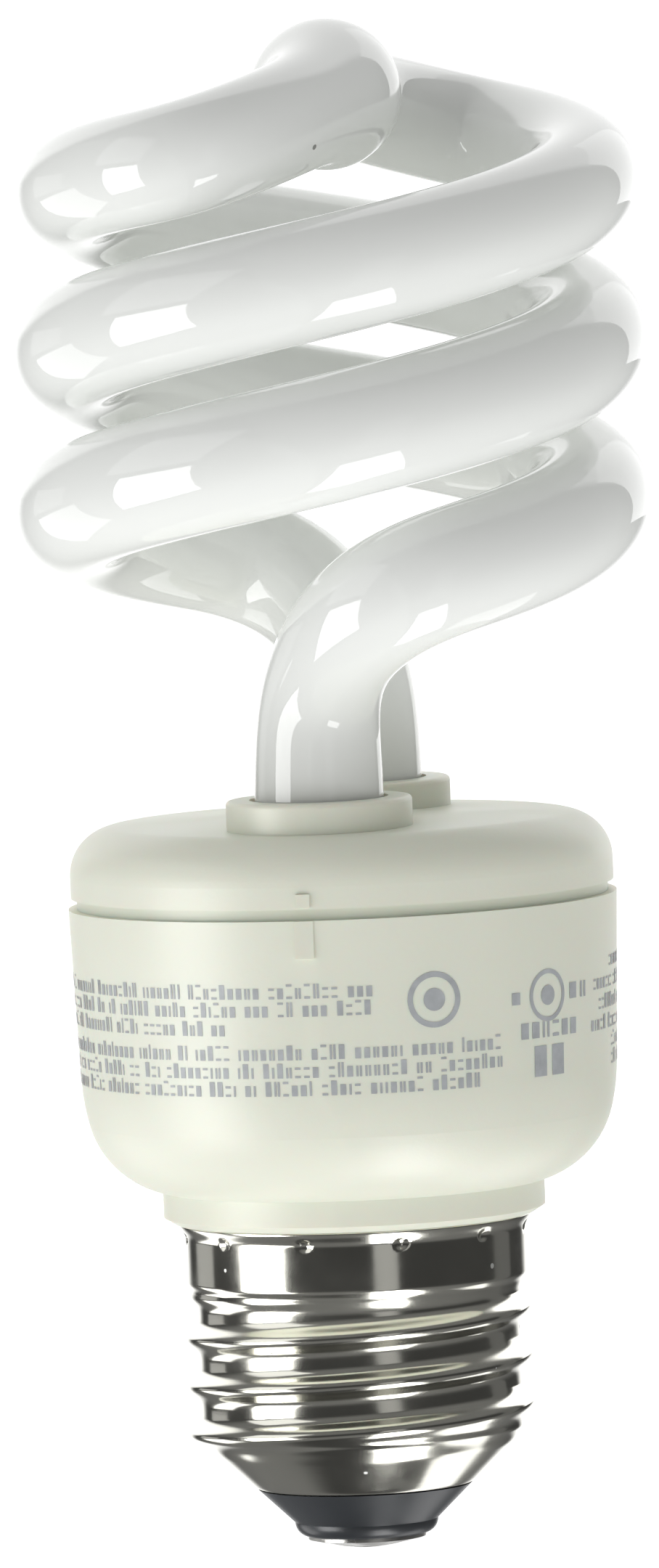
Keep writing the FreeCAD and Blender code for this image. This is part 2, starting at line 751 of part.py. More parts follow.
# Cup with a round shoulder and a spigot that carries the screw shell
def make_ballast_housing():
    body = new_body("ballast_housing")
    wall = "housing_wall"
    flank_x = "foot_radius - flank_radius * (1 - shoulder_cosine)"
    flank_z = "wall_base - flank_height"
    neck_top = "shoulder_z - sqrt(shoulder_round ^ 2 - (neck_radius - shoulder_x) ^ 2)"
    turned(body, [
        ("0", "seam"),
        ("0", "spigot_end"),
        ("spigot_thread_radius", "spigot_end"),
        ("spigot_thread_radius", "thread_top"),
        ("spigot_radius", "thread_top + spigot_radius - spigot_thread_radius"),
        ("spigot_radius", "neck_base"),
        ("neck_foot_radius", "neck_base"),
        ("neck_radius", "neck_base + neck_chamfer"),
        ("neck_radius", neck_top),
        (flank_x, flank_z, "shoulder_round", "left"),
        ("foot_radius", "wall_base", "flank_radius", "left"),
        ("rim_radius", "seam"),
    ])
    turned(body, rectangle("0", "spigot_end", "bore_radius", "shoulder_z"), "PartDesign::Groove")
    turned(body, [
        ("0", "seam"),
        ("0", "bore_top"),
        ("shoulder_x", "bore_top"),
        (flank_x + " - housing_wall * shoulder_cosine", flank_z + " + housing_wall * shoulder_sine",
         "shoulder_round - " + wall, "left"),
        ("foot_radius - " + wall, "wall_base", "flank_radius - " + wall, "left"),
        ("rim_radius - " + wall, "seam"),
    ], "PartDesign::Groove")
    turned(body, rectangle("plug_radius", "snap_top - snap_height",
                           "rim_radius - housing_wall + snap_depth", "snap_top"), "PartDesign::Groove")
    slot = new_sketch(body, "XY_Plane", "spigot_end")
    draw_outline(slot, rectangle("-wire_slot_width / 2", "spigot_thread_radius - wire_slot_depth",
                                 "wire_slot_width / 2", "spigot_thread_radius + wire_slot_depth"))
    raised(body, slot, "neutral_rise + lead_radius", "PartDesign::Pocket")
    mark = new_sketch(body, "XY_Plane", "seam - mark_height")
    draw_outline(mark, rectangle("-mark_across - mark_width / 2", "-rim_radius",
                                 "-mark_across + mark_width / 2", "housing_wall / 2 - foot_radius"))
    raised(body, mark, "mark_height")
    rib = new_sketch(body, "XY_Plane", "board_bottom - rib_height")
    ray_start = "board_radius - rib_reach"
    ray_end = "foot_radius - housing_wall / 2"
    draw_outline(rib, rectangle(ray_start, "-rib_width / 2", ray_end, "rib_width / 2"))
    upright = FreeCAD.Rotation(FreeCAD.Vector(0, 0, 1), 1)
    rib.AttachmentOffset = FreeCAD.Placement(rib.AttachmentOffset.Base, upright)
    rib.setExpression("AttachmentOffset.Rotation.Angle", linked("rib_angle"))
    rib_pad = raised(body, rib, "rib_height")
    repeated(body, rib_pad, "rib_count")


# A rod whose round section wobbles about the axis, which gives a rolled thread; inset by the wall inside
def thread_rod(inset):
    low = levels.thread_bottom - size.thread_run_out
    high = levels.thread_top
    mean_radius = levels.thread_mean_radius
    slope = (mean_radius - size.lip_radius) / size.cap_cone_height
    steps = math.ceil((high - low) / size.thread_pitch * size.thread_sections)
    east = FreeCAD.Vector(1, 0, 0)
    north = FreeCAD.Vector(0, 1, 0)
    circles = []
    for step in range(steps + 1):
        height = low + (high - low) * step / steps
        fade = min(1.0, (height - low) / size.thread_run_out, (high - height) / size.thread_run_out)
        offset = size.thread_depth / 2 * fade ** 2 * (3 - 2 * fade)
        cone_radius = mean_radius - (levels.thread_bottom - height) * slope
        closing = max(0.0, 1 - (high - height) / size.thread_run_out)
        widening = size.thread_inset * closing ** 2 * (3 - 2 * closing)
        radius = min(mean_radius, cone_radius - offset / 2) + widening
        turn = 2 * math.pi * (height - levels.thread_bottom) / size.thread_pitch
        angle = math.radians(size.thread_start_angle) + turn
        centre = FreeCAD.Vector(offset * math.cos(angle), offset * math.sin(angle), height)
        circles.append((centre, east, north, radius - inset))
    return skinned(circles)


# The outer form of the screw shell, or its hollow when inset by the wall
def shell_form(inset):
    low = levels.thread_bottom - size.thread_run_out
    slope = (levels.thread_mean_radius - size.lip_radius) / size.cap_cone_height
    lip_radius = size.lip_radius - inset
    cone_radius = lip_radius + (low - levels.lip_height) * slope
    band_radius = size.band_radius - inset
    cone_foot = FreeCAD.Vector(0, 0, levels.lip_height)
    cone = Part.makeCone(lip_radius, cone_radius, low - levels.lip_height, cone_foot)
    band_foot = FreeCAD.Vector(0, 0, levels.thread_top)
    band = Part.makeCylinder(band_radius, size.band_height, band_foot)
    flare_foot = FreeCAD.Vector(0, 0, levels.band_top)
    flare = Part.makeCone(band_radius, levels.flare_radius - inset, size.flare_height, flare_foot)
    return cone.fuse([thread_rod(inset), band, flare])


# Thin rolled shell with an E26 thread, punched at its rim to grip the spigot
def make_screw_shell():
    shell = shell_form(0).cut(shell_form(size.shell_wall))
    punches = []
    count = int(size.punch_count)
    reach = size.band_radius + size.punch_radius - size.punch_depth
    for index in range(count):
        turn = 2 * math.pi * (index + 0.5) / count
        centre = FreeCAD.Vector(reach * math.cos(turn), reach * math.sin(turn), levels.band_top)
        punches.append(Part.makeSphere(size.punch_radius, centre))
    shape_node("screw_shell", shell.cut(punches))


# Black glass cone between the shell and the contact, with a plug inside the shell
def make_base_insulator():
    body = new_body("base_insulator")
    plug = "lip_radius - shell_wall - drill_clearance"
    turned(body, [
        ("eyelet_radius", "contact_height"),
        ("insulator_foot_radius - insulator_rounding", "contact_height"),
        ("insulator_foot_radius", "contact_height + insulator_rounding", "insulator_rounding", "left"),
        ("lip_radius", "lip_height"),
        (plug, "lip_height"),
        (plug, "lip_height + insulator_plug_height"),
        ("eyelet_radius", "lip_height + insulator_plug_height"),
    ])


# Round contact with an eyelet that goes up into the insulator
def make_centre_contact():
    body = new_body("centre_contact")
    turned(body, [
        ("eyelet_bore_radius", "solder_proud"),
        ("contact_face_radius", "solder_proud"),
        ("contact_radius", "contact_height - contact_thickness / 2"),
        ("contact_radius", "contact_height"),
        ("eyelet_radius", "contact_height"),
        ("eyelet_radius", "contact_height + eyelet_length"),
        ("eyelet_bore_radius", "contact_height + eyelet_length"),
    ])


def make_contact_solder():
    body = new_body("contact_solder")
    turned(body, [
        ("0", "0"),
        ("solder_radius - 2 * solder_proud", "0"),
        ("solder_radius", "solder_proud"),
        ("eyelet_bore_radius", "solder_proud"),
        ("eyelet_bore_radius", "contact_height"),
        ("0", "contact_height"),
    ])


# Aluminium can in the neck, with a sleeve groove near its seal
def make_electrolytic_capacitor():
    body = new_body("electrolytic_capacitor")
    x_text, y_text = "electrolytic_across", "-electrolytic_forward"
    bottom = "electrolytic_top - electrolytic_length"
    groove = "electrolytic_top - electrolytic_groove_drop"
    turned(body, [
        ("0", "electrolytic_top"),
        ("0", bottom),
        ("electrolytic_radius - electrolytic_edge", bottom),
        ("electrolytic_radius", bottom + " + electrolytic_edge", "electrolytic_edge", "left"),
        ("electrolytic_radius", groove + " - electrolytic_groove"),
        ("electrolytic_radius", groove + " + electrolytic_groove", "electrolytic_groove_round", "right"),
        ("electrolytic_radius", "electrolytic_top"),
    ])
    leads = new_sketch(body, "XY_Plane", "electrolytic_top")
    for side in ("-", ""):
        lead_x = side + "electrolytic_radius * electrolytic_lead_share"
        draw_circle(leads, lead_x, "0", "lead_radius")
        drill(x_text + " + " + lead_x, y_text, "lead_radius + drill_clearance")
    raised(body, leads, "board_top + lead_stub - electrolytic_top")
    place(body, x_text, y_text, "0")


# Two E cores glued face to face: a block with a window on each side of the middle limb
def make_inductor():
    x_text = "-inductor_across"
    bottom = "hanging_top - core_height"
    window = "(core_width - 2 * core_limb - core_middle_limb) / 2"
    window_height = "(core_height - 2 * core_limb)"
    window_bottom = bottom + " + core_limb"
    block = box(x_text, "0", bottom, "core_depth", "core_width", "core_height")
    for side in ("", "-"):
        window_y = side + "(core_middle_limb + " + window + ") / 2"
        hole = box(x_text, window_y, window_bottom, "2 * core_depth", window, window_height)
        block = cut(block, hole)
    as_node(block, "inductor_core")
    hole_width = "core_middle_limb + 2 * bobbin_clearance"
    hole_depth = "core_depth + 2 * bobbin_clearance"
    tube_width = hole_width + " + 2 * bobbin_wall"
    tube_depth = hole_depth + " + 2 * bobbin_wall"
    flange_width = "core_middle_limb + 2 * (" + window + " - bobbin_side_play)"
    first = window_bottom + " + bobbin_clearance / 2"
    last = window_bottom + " + " + window_height + " - bobbin_flange - bobbin_clearance / 2"
    pieces = [box(x_text, "0", first, tube_depth, tube_width, window_height + " - bobbin_clearance")]
    for flange in (first, last):
        pieces.append(box(x_text, "0", flange, "bobbin_depth", flange_width, "bobbin_flange"))
    for x_side in ("-", "+"):
        for y_side in ("-", ""):
            pin_x = x_text + " " + x_side + " bobbin_pin_across"
            pieces.append(hanging_lead(pin_x, y_side + "bobbin_pin_back", last))
    bore = box(x_text, "0", bottom, hole_depth, hole_width, "core_height")
    as_node(cut(fused(pieces), bore), "inductor_bobbin")
    winding_height = window_height + " - 2 * bobbin_flange - bobbin_clearance"
    winding_bottom = first + " + bobbin_flange"
    winding_width = flange_width + " - 2 * winding_inset"
    winding_depth = "bobbin_depth - 2 * winding_inset"
    winding = box(x_text, "0", winding_bottom, winding_depth, winding_width, winding_height)
    middle = box(x_text, "0", bottom, tube_depth, tube_width, "core_height")
    as_node(cut(winding, middle), "inductor_winding")


# Small ring core that lies under the board, and the turns of wire round it
def make_toroid():
    x_text, y_text = "toroid_across", "toroid_back"
    core_bottom = "hanging_top - toroid_wire - toroid_thickness"
    ring = cylinder(x_text, y_text, core_bottom, "toroid_radius", "toroid_thickness")
    bore = cylinder(x_text, y_text, core_bottom, "toroid_bore_radius", "toroid_thickness")
    as_node(cut(ring, bore), "toroid_core")
    wire_width = number("toroid_wire")
    play = number("toroid_turn_clearance")
    inner = number("toroid_bore_radius") - play
    outer = number("toroid_radius") + play
    height = number("toroid_thickness") + 2 * play
    low = number(core_bottom) - play
    turns = []
    for index in range(int(number("toroid_turns"))):
        start = FreeCAD.Vector(inner - wire_width, -wire_width / 2, low - wire_width)
        window = FreeCAD.Vector(inner, -wire_width, low)
        loop = Part.makeBox(outer - inner + 2 * wire_width, wire_width, height + 2 * wire_width, start)
        loop = loop.cut(Part.makeBox(outer - inner, 2 * wire_width, height, window))
        loop.rotate(FreeCAD.Vector(0, 0, 0), FreeCAD.Vector(0, 0, 1), index * number("toroid_turn_step"))
        loop.translate(FreeCAD.Vector(number(x_text), number(y_text), 0))
        turns.append(loop)
    reach = "toroid_radius + toroid_turn_clearance + toroid_wire + lead_radius"
    for side in ("-", "+"):
        lead_x = "%s %s (%s)" % (x_text, side, reach)
        drill(lead_x, y_text, "lead_radius + drill_clearance")
        foot = FreeCAD.Vector(number(lead_x), number(y_text), number(core_bottom))
        length = number("board_top + lead_stub") - foot.z
        turns.append(Part.makeCylinder(number("lead_radius"), length, foot))
    shape_node("toroid_windings", Part.makeCompound(turns))


# Half-round plastic transistor that hangs on three leads
def make_transistor(label, x_text, y_text):
    bottom = "board_bottom - transistor_standoff - transistor_height"
    round_body = cylinder(x_text, y_text, bottom, "transistor_radius", "transistor_height")
    flat_y = "%s + transistor_flat + transistor_radius / 2" % y_text
    flat = box(x_text, flat_y, bottom, "3 * transistor_radius", "transistor_radius", "transistor_height")
    pieces = [cut(round_body, flat)]
    for step in ("- transistor_lead_pitch", "", "+ transistor_lead_pitch"):
        pieces.append(hanging_lead("%s %s" % (x_text, step), y_text, bottom + " + transistor_height"))
    as_node(fused(pieces), label)


# Dipped film capacitor with rounded edges and two leads
def make_film_capacitor(label, kind, x_text, y_text):
    body = new_body(label)
    length, width, height = (kind + "_length", kind + "_width", kind + "_height")
    outline = new_sketch(body, "XY_Plane", "hanging_top - " + height)
    draw_outline(outline, rectangle("-%s / 2" % length, "-%s / 2" % width,
                                    "%s / 2" % length, "%s / 2" % width))
    block = raised(body, outline, height)
    rounding = body.newObject("PartDesign::Fillet", label + "_rounding")
    rounding.Base = (block, ["Edge%d" % (index + 1) for index in range(len(block.Shape.Edges))])
    rounding.setExpression("Radius", linked("film_edge"))
    document.recompute()
    leads = new_sketch(body, "XY_Plane", "hanging_top - film_edge")
    for side in ("-", ""):
        lead_x = side + length + " / 2 * film_lead_share"
        draw_circle(leads, lead_x, "0", "lead_radius")
        drill(x_text + " + " + lead_x, y_text, "lead_radius + drill_clearance")
    raised(body, leads, "board_top + lead_stub - hanging_top + film_edge")
    place(body, x_text, y_text, "0")


# Drum core with its winding between the flanges
def make_filter_choke():
    body = new_body("filter_choke")
    x_text, y_text = "choke_across", "-choke_forward"
    bottom = "hanging_top - choke_height"
    turned(body, [
        ("0", "hanging_top"),
        ("0", bottom),
        ("choke_radius", bottom),
        ("choke_radius", bottom + " + choke_flange"),
        ("choke_winding_radius", bottom + " + choke_flange"),
        ("choke_winding_radius", "hanging_top - choke_flange"),
        ("choke_radius", "hanging_top - choke_flange"),
        ("choke_radius", "hanging_top"),
    ])
    leads = new_sketch(body, "XY_Plane", "hanging_top")
    for side in ("-", ""):
        draw_circle(leads, side + "choke_lead_pitch / 2", "0", "lead_radius")
        drill(x_text + " + " + side + "choke_lead_pitch / 2", y_text, "lead_radius + drill_clearance")
    raised(body, leads, "board_top + lead_stub - hanging_top")
    place(body, x_text, y_text, "0")


# A small piece that lies on the board along Y, with its leads bent down through it
def axial_piece(x_text, y_text, kind):
    height = "board_top + axial_lift + %s_radius" % kind
    foot = "board_bottom - lead_stub"
    reach = "%s_length / 2 + axial_lead_reach" % kind
    near = "%s - (%s)" % (y_text, reach)
    far = "%s + (%s)" % (y_text, reach)
    for end in (near, far):
        drill(x_text, end, "lead_radius + drill_clearance")
    lead = wire_along([
        point(x_text, near, foot),
        point(x_text, near, height),
        point(x_text, far, height),
        point(x_text, far, foot),
    ], size.lead_radius)
    start = point(x_text, "%s - %s_length / 2" % (y_text, kind), height)
    length = number(kind + "_length")
    barrel = Part.makeCylinder(number(kind + "_radius"), length, start, FreeCAD.Vector(0, 1, 0))
    return barrel.fuse(lead)


def make_axial_rows():
    for label, kind, side in (("rectifier_diodes", "diode", "-"), ("resistors", "resistor", "")):
        row = []
        for index in range(int(number("axial_count"))):
            x_text = "%s(axial_first + %d * axial_step)" % (side, index)
            row.append(axial_piece(x_text, "0", kind))
        shape_node(label, Part.makeCompound(row))
    shape_node("trigger_diode", axial_piece("0", "trigger_back", "trigger"))


# The lead to the centre contact, with its fuse resistor in the neck
def make_live_lead():
    x_text, y_text = "-fuse_across", "fuse_back"
    drill(x_text, y_text, "lead_radius + drill_clearance")
    as_node(cylinder(x_text, y_text, "fuse_bottom", "fuse_radius", "fuse_length"), "fuse_resistor")
    radius = number("lead_radius")
    fuse_top = point(x_text, y_text, "fuse_bottom + fuse_length")
    upper = Part.makeCylinder(radius, number("board_top + lead_stub") - fuse_top.z, fuse_top)
    lower = wire_along([
        point(x_text, y_text, "fuse_bottom"),
        point(x_text, y_text, "wire_turn_height"),
        point("0", "0", "wire_turn_height"),
        point("0", "0", "contact_height"),
    ], radius)
    shape_node("live_lead", Part.makeCompound([upper, lower]))


# The lead that comes out under the spigot and is pinched by the screw shell
def make_neutral_lead():
    drill("-neutral_across", "neutral_back", "lead_radius + drill_clearance")
    under = "spigot_end - 2 * lead_radius"
    slot_y = "spigot_thread_radius - lead_radius"
    lead = wire_along([
        point("-neutral_across", "neutral_back", "board_top + lead_stub"),
        point("-neutral_across", "neutral_back", under),
        point("0", slot_y, under),
        point("0", slot_y, "spigot_end + neutral_rise"),
    ], number("lead_radius"))
    shape_node("neutral_lead", lead)


# Square posts in the board, and the leads that run to them from the ends of the tube
def make_filament_wiring():
    posts = []
    leads = []
    for side, left_post, right_post in (("-", "-post_far", "post_near"), ("", "-post_near", "post_far")):
        for step, post_x in (("-", left_post), ("+", right_post)):
            leg_x = side + "leg_across"
            post_y = side + "post_forward"
            foot = "board_bottom - lead_stub"
            length = "board_top + post_height - (%s)" % foot
            posts.append(box(post_x, post_y, foot, "post_width", "post_width", length))
            drill(post_x, post_y, "post_hole_radius")
            start_x = "%s %s filament_spread" % (leg_x, step)
            wire_z = "board_top + post_height + lead_radius"
            leads.append(wire_along([
                point(start_x, side + "leg_forward", "leg_end"),
                point(start_x, side + "leg_forward", wire_z),
                point(post_x, post_y, wire_z),
            ], number("lead_radius")))
    as_node(grouped(posts), "wire_posts")
    shape_node("filament_leads", Part.makeCompound(leads))


# Round board on the housing's ribs, drilled for every lead
def make_circuit_board():
    disc = cylinder("0", "0", "board_bottom", "board_radius", "board_thickness")
    as_node(cut(disc, fused(drillings)), "circuit_board")


make_spiral_tube()
make_tube_cement()
make_tube_cover()
make_ballast_housing()
make_screw_shell()
make_base_insulator()
make_centre_contact()
make_contact_solder()
make_electrolytic_capacitor()
make_inductor()
make_toroid()
make_transistor("low_transistor", "low_transistor_across", "-low_transistor_forward")
make_transistor("high_transistor", "high_transistor_across", "high_transistor_back")
make_film_capacitor("resonant_capacitor", "resonant", "-resonant_across", "resonant_back")
make_film_capacitor("coupling_capacitor", "coupling", "-coupling_across", "-coupling_forward")
make_filter_choke()
make_axial_rows()
make_live_lead()
make_neutral_lead()
make_filament_wiring()
make_circuit_board()

levels.setExpression("probe", None)
document.recompute()

for feature in document.Objects:
    if "Invalid" in feature.State or "Error" in feature.State:
        raise RuntimeError("%s failed: %s" % (feature.Label, feature.State))
for node in nodes:
    if node.Shape.isNull() or not node.Shape.isValid() or not node.Shape.Solids:
        raise RuntimeError("%s has no valid solid" % node.Label)

os.makedirs("parts", exist_ok=True)
for node in nodes:
    node.Shape.exportStep("parts/%s.step" % node.Label)
    print("%-24s %2d solid(s) %10.2f mm3" % (node.Label, len(node.Shape.Solids), node.Shape.Volume))
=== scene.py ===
import math
import random

import bpy
from mathutils import Matrix, Quaternion, Vector


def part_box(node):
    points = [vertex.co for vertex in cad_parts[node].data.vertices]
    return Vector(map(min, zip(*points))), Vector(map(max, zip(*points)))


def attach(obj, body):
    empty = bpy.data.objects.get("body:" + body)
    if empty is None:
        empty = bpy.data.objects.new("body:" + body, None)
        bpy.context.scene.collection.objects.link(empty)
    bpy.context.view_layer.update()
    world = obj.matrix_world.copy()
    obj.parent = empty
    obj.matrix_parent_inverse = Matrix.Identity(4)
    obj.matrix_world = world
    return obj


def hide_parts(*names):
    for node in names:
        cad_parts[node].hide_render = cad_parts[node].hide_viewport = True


# Looks of the spiral lamp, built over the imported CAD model. Sizes of the pieces and of the view are in
# millimetres, those of the floor, cards and lamps in metres. The tube's and the print's heights and depths
# are measured from the seam between the housing and the cover, the shell's heights from its lip.
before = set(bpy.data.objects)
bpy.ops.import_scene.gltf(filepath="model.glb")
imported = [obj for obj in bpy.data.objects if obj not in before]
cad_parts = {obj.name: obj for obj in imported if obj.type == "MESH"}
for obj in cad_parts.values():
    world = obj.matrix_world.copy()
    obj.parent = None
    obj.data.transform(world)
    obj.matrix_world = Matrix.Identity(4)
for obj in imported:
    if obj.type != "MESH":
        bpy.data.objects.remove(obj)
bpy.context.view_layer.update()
mm = 0.001
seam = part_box("ballast_housing")[1].z / mm
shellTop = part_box("screw_shell")[1].z / mm
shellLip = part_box("screw_shell")[0].z / mm
print("frame loaded, seam at %.2f mm" % seam)


# Mesh tools

# A mesh from closed rings of points, each joined to the next, with its two ends closed by fans
def meshFromRings(name, rings, closeEnds=True):
    count = len(rings[0])
    points = [point * mm for ring in rings for point in ring]
    faces = []
    for row in range(len(rings) - 1):
        for column in range(count):
            right = (column + 1) % count
            low = row * count
            faces.append((low + column, low + right, low + count + right, low + count + column))
    if closeEnds:
        for row, turned in ((0, True), (len(rings) - 1, False)):
            centre = sum(rings[row], Vector()) / count
            points.append(centre * mm)
            low = row * count
            for column in range(count):
                pair = (low + column, low + (column + 1) % count)
                faces.append((*(reversed(pair) if turned else pair), len(points) - 1))
    mesh = bpy.data.meshes.new(name)
    mesh.from_pydata(points, [], faces)
    mesh.update()
    mesh.shade_smooth()
    piece = bpy.data.objects.new(name, mesh)
    bpy.context.scene.collection.objects.link(piece)
    return piece


# Sharp shading along edges that turn by more than the angle
def keepCreases(piece, degrees):
    with bpy.context.temp_override(object=piece, selected_objects=[piece]):
        bpy.ops.object.shade_smooth_by_angle(angle=math.radians(degrees))


def smoothStep(low, high, value):
    share = min(1.0, max(0.0, (value - low) / (high - low)))
    return share * share * (3 - 2 * share)


# Shader tools

def newMaterial(name):
    material = bpy.data.materials.new(name)
    material.use_nodes = True
    nodes = material.node_tree.nodes
    return material, material.node_tree, nodes["Principled BSDF"]


def addNode(tree, kind, **settings):
    node = tree.nodes.new(kind)
    for key, value in settings.items():
        setattr(node, key, value)
    return node


def feed(tree, socket, value):
    if isinstance(value, bpy.types.NodeSocket):
        tree.links.new(value, socket)
    else:
        socket.default_value = value


def mathNode(tree, operation, first, second=0.0, third=0.0):
    node = addNode(tree, "ShaderNodeMath", operation=operation)
    for socket, value in zip(node.inputs, (first, second, third)):
        feed(tree, socket, value)
    return node.outputs[0]


# A value moved from one span to another, softly at both ends
def ramped(tree, value, low, high, lowResult=0.0, highResult=1.0):
    node = addNode(tree, "ShaderNodeMapRange", interpolation_type="SMOOTHSTEP")
    for socket, given in zip(node.inputs, (value, low, high, lowResult, highResult)):
        feed(tree, socket, given)
    return node.outputs["Result"]


def mixedColour(tree, share, first, second):
    node = addNode(tree, "ShaderNodeMix", data_type="RGBA")
    feed(tree, node.inputs["Factor"], share)
    feed(tree, node.inputs["A"], first)
    feed(tree, node.inputs["B"], second)
    return node.outputs["Result"]


def newGroup(name, inputs, outputs):
    group = bpy.data.node_groups.new(name, "ShaderNodeTree")
    for label, kind, value in inputs:
        socket = group.interface.new_socket(name=label, in_out="INPUT", socket_type="NodeSocket" + kind)
        socket.default_value = value
    for label, kind in outputs:
        group.interface.new_socket(name=label, in_out="OUTPUT", socket_type="NodeSocket" + kind)
    return group, addNode(group, "NodeGroupInput"), addNode(group, "NodeGroupOutput")


# Slow change of tone over the surface, so that no finish is one flat colour
def makeMottleGroup():
    group, given, result = newGroup(
        "gentleMottle",
        [("Colour", "Color", (0.8, 0.8, 0.8, 1)), ("Strength", "Float", 0.1), ("Scale", "Float", 60.0)],
        [("Colour", "Color"), ("Value", "Float")],
    )
    place = addNode(group, "ShaderNodeTexCoord")
    noise = addNode(group, "ShaderNodeTexNoise")
    group.links.new(place.outputs["Object"], noise.inputs["Vector"])
    group.links.new(given.outputs["Scale"], noise.inputs["Scale"])
    noise.inputs["Detail"].default_value = 3.0
    centred = mathNode(group, "SUBTRACT", noise.outputs["Fac"], 0.5)
    gain = mathNode(group, "MULTIPLY_ADD", centred, given.outputs["Strength"], 1.0)
    toned = addNode(group, "ShaderNodeVectorMath", operation="SCALE")
    group.links.new(given.outputs["Colour"], toned.inputs[0])
    group.links.new(gain, toned.inputs["Scale"])
    group.links.new(toned.outputs[0], result.inputs["Colour"])
    group.links.new(noise.outputs["Fac"], result.inputs["Value"])
    return group


# Scattered specks: a few cells of a cell pattern each hold one small dot
def makeSpeckGroup():
    group, given, result = newGroup(
        "dustSpecks",
        [("Colour", "Color", (0.8, 0.8, 0.8, 1)), ("Speck Colour", "Color", (0.3, 0.3, 0.28, 1)),
         ("Scale", "Float", 300.0), ("Share", "Float", 0.1), ("Radius", "Float", 0.12)],
        [("Colour", "Color"), ("Mask", "Float")],
    )
    place = addNode(group, "ShaderNodeTexCoord")
    cells = addNode(group, "ShaderNodeTexVoronoi")
    group.links.new(place.outputs["Object"], cells.inputs["Vector"])
    group.links.new(given.outputs["Scale"], cells.inputs["Scale"])
    split = addNode(group, "ShaderNodeSeparateColor")
    group.links.new(cells.outputs["Color"], split.inputs[0])
    chosen = mathNode(group, "LESS_THAN", split.outputs[0], given.outputs["Share"])
    spread = mathNode(group, "MULTIPLY", given.outputs["Radius"], split.outputs[1])
    near = mathNode(group, "LESS_THAN", cells.outputs["Distance"], spread)
    mask = mathNode(group, "MULTIPLY", chosen, near)
    colour = mixedColour(group, mask, given.outputs["Colour"], given.outputs["Speck Colour"])
    group.links.new(colour, result.inputs["Colour"])
    group.links.new(mask, result.inputs["Mask"])
    return group


# Height of a fine moulded or drawn grain, for a Bump node
def makeGrainGroup():
    group, given, result = newGroup(
        "fineGrain",
        [("Scale", "Float", 900.0), ("Stretch", "Vector", (1.0, 1.0, 1.0))],
        [("Height", "Float")],
    )
    place = addNode(group, "ShaderNodeTexCoord")
    stretched = addNode(group, "ShaderNodeVectorMath", operation="MULTIPLY")
    group.links.new(place.outputs["Object"], stretched.inputs[0])
    group.links.new(given.outputs["Stretch"], stretched.inputs[1])
    noise = addNode(group, "ShaderNodeTexNoise")
    group.links.new(stretched.outputs[0], noise.inputs["Vector"])
    group.links.new(given.outputs["Scale"], noise.inputs["Scale"])
    noise.inputs["Detail"].default_value = 4.0
    group.links.new(noise.outputs["Fac"], result.inputs["Height"])
    return group


mottleGroup = makeMottleGroup()
speckGroup = makeSpeckGroup()
grainGroup = makeGrainGroup()
mottleSpan = (0.3, 0.7)  # nearly all of the mottle's value lies between these


def placeGroup(tree, group, **values):
    node = addNode(tree, "ShaderNodeGroup", node_tree=group)
    for label, value in values.items():
        feed(tree, node.inputs[label.replace("_", " ")], value)
    return node


def addBump(tree, shader, height, strength, distance):
    bump = addNode(tree, "ShaderNodeBump")
    bump.inputs["Strength"].default_value = strength
    bump.inputs["Distance"].default_value = distance
    tree.links.new(height, bump.inputs["Height"])
    tree.links.new(bump.outputs["Normal"], shader.inputs["Normal"])


# Glass tube

tube = {
    "legAcross": 1.5,
    "legForward": 9.5,
    "legRadius": 4.92,
    "legEnd": -0.6,
    "legRise": 13.0,
    "legPull": 21.0,
    "bendLength": 20.0,
    "waistRadius": 4.5,
    "waistSpread": 7.0,
    "waistOffset": 5.0,
    "coilRadius": 19.25,
    "coilPitch": 24.2,
    "coilSideHeight": 29.8,  # of the front leg's strand where it passes the right side
    "coilStartAngle": 300.0,
    "coilEndAngle": 765.0,
    "coilPull": 27.0,
    "coilTubeRadius": 4.8,
    "crownTubeRadius": 4.3,
    "taperStartShare": 0.45,
    "taperEndShare": 0.87,
    "flattenDrop": 0.75,
    "flattenAngle": 70.0,  # the coil's end drops by flattenDrop over this angle
    "bridgePull": 26.0,
    "knobPull": 18.0,
    "knobHeading": 283.0,
    "knobHeight": 60.75,
    "knobRadius": 5.75,
    "knobSpread": 5.0,
    "leanAngle": 1.1,  # of the coil, to the right
    "leanBase": 6.4,
    "exhaustRadius": 1.2,
    "exhaustLength": 2.5,
    "exhaustTip": 0.01,
    "exhaustRings": 8,
    "exhaustSides": 32,
    "sidesRound": 64,
    "ringSpacing": 0.9,
    "bendSlack": 1.15,  # length of the bend over the straight way between its ends
    "bridgeSlack": 1.1,
    "smoothingPasses": 6,
    "creaseAngle": 60,
}


# A curve from one point to another that leaves and arrives along the two pulls
def blended(start, startPull, finish, finishPull, share):
    startPart = start * (2 * share ** 3 - 3 * share ** 2 + 1)
    finishPart = finish * (3 * share ** 2 - 2 * share ** 3)
    pullPart = startPull * (share ** 3 - 2 * share ** 2 + share) + finishPull * (share ** 3 - share ** 2)
    return startPart + finishPart + pullPart


def coilPoint(angle):
    turn = math.radians(angle)
    flattening = max(0.0, (angle - tube["coilEndAngle"]) / tube["flattenAngle"] + 1)
    rise = tube["coilSideHeight"] + tube["coilPitch"] * (angle - 360) / 360
    height = seam + rise - tube["flattenDrop"] * flattening ** 2
    return Vector((tube["coilRadius"] * math.cos(turn), tube["coilRadius"] * math.sin(turn), height))


def coilDirection(angle):
    halfDegreeBack = coilPoint(angle - 0.5)
    return (coilPoint(angle) - halfDegreeBack).normalized()


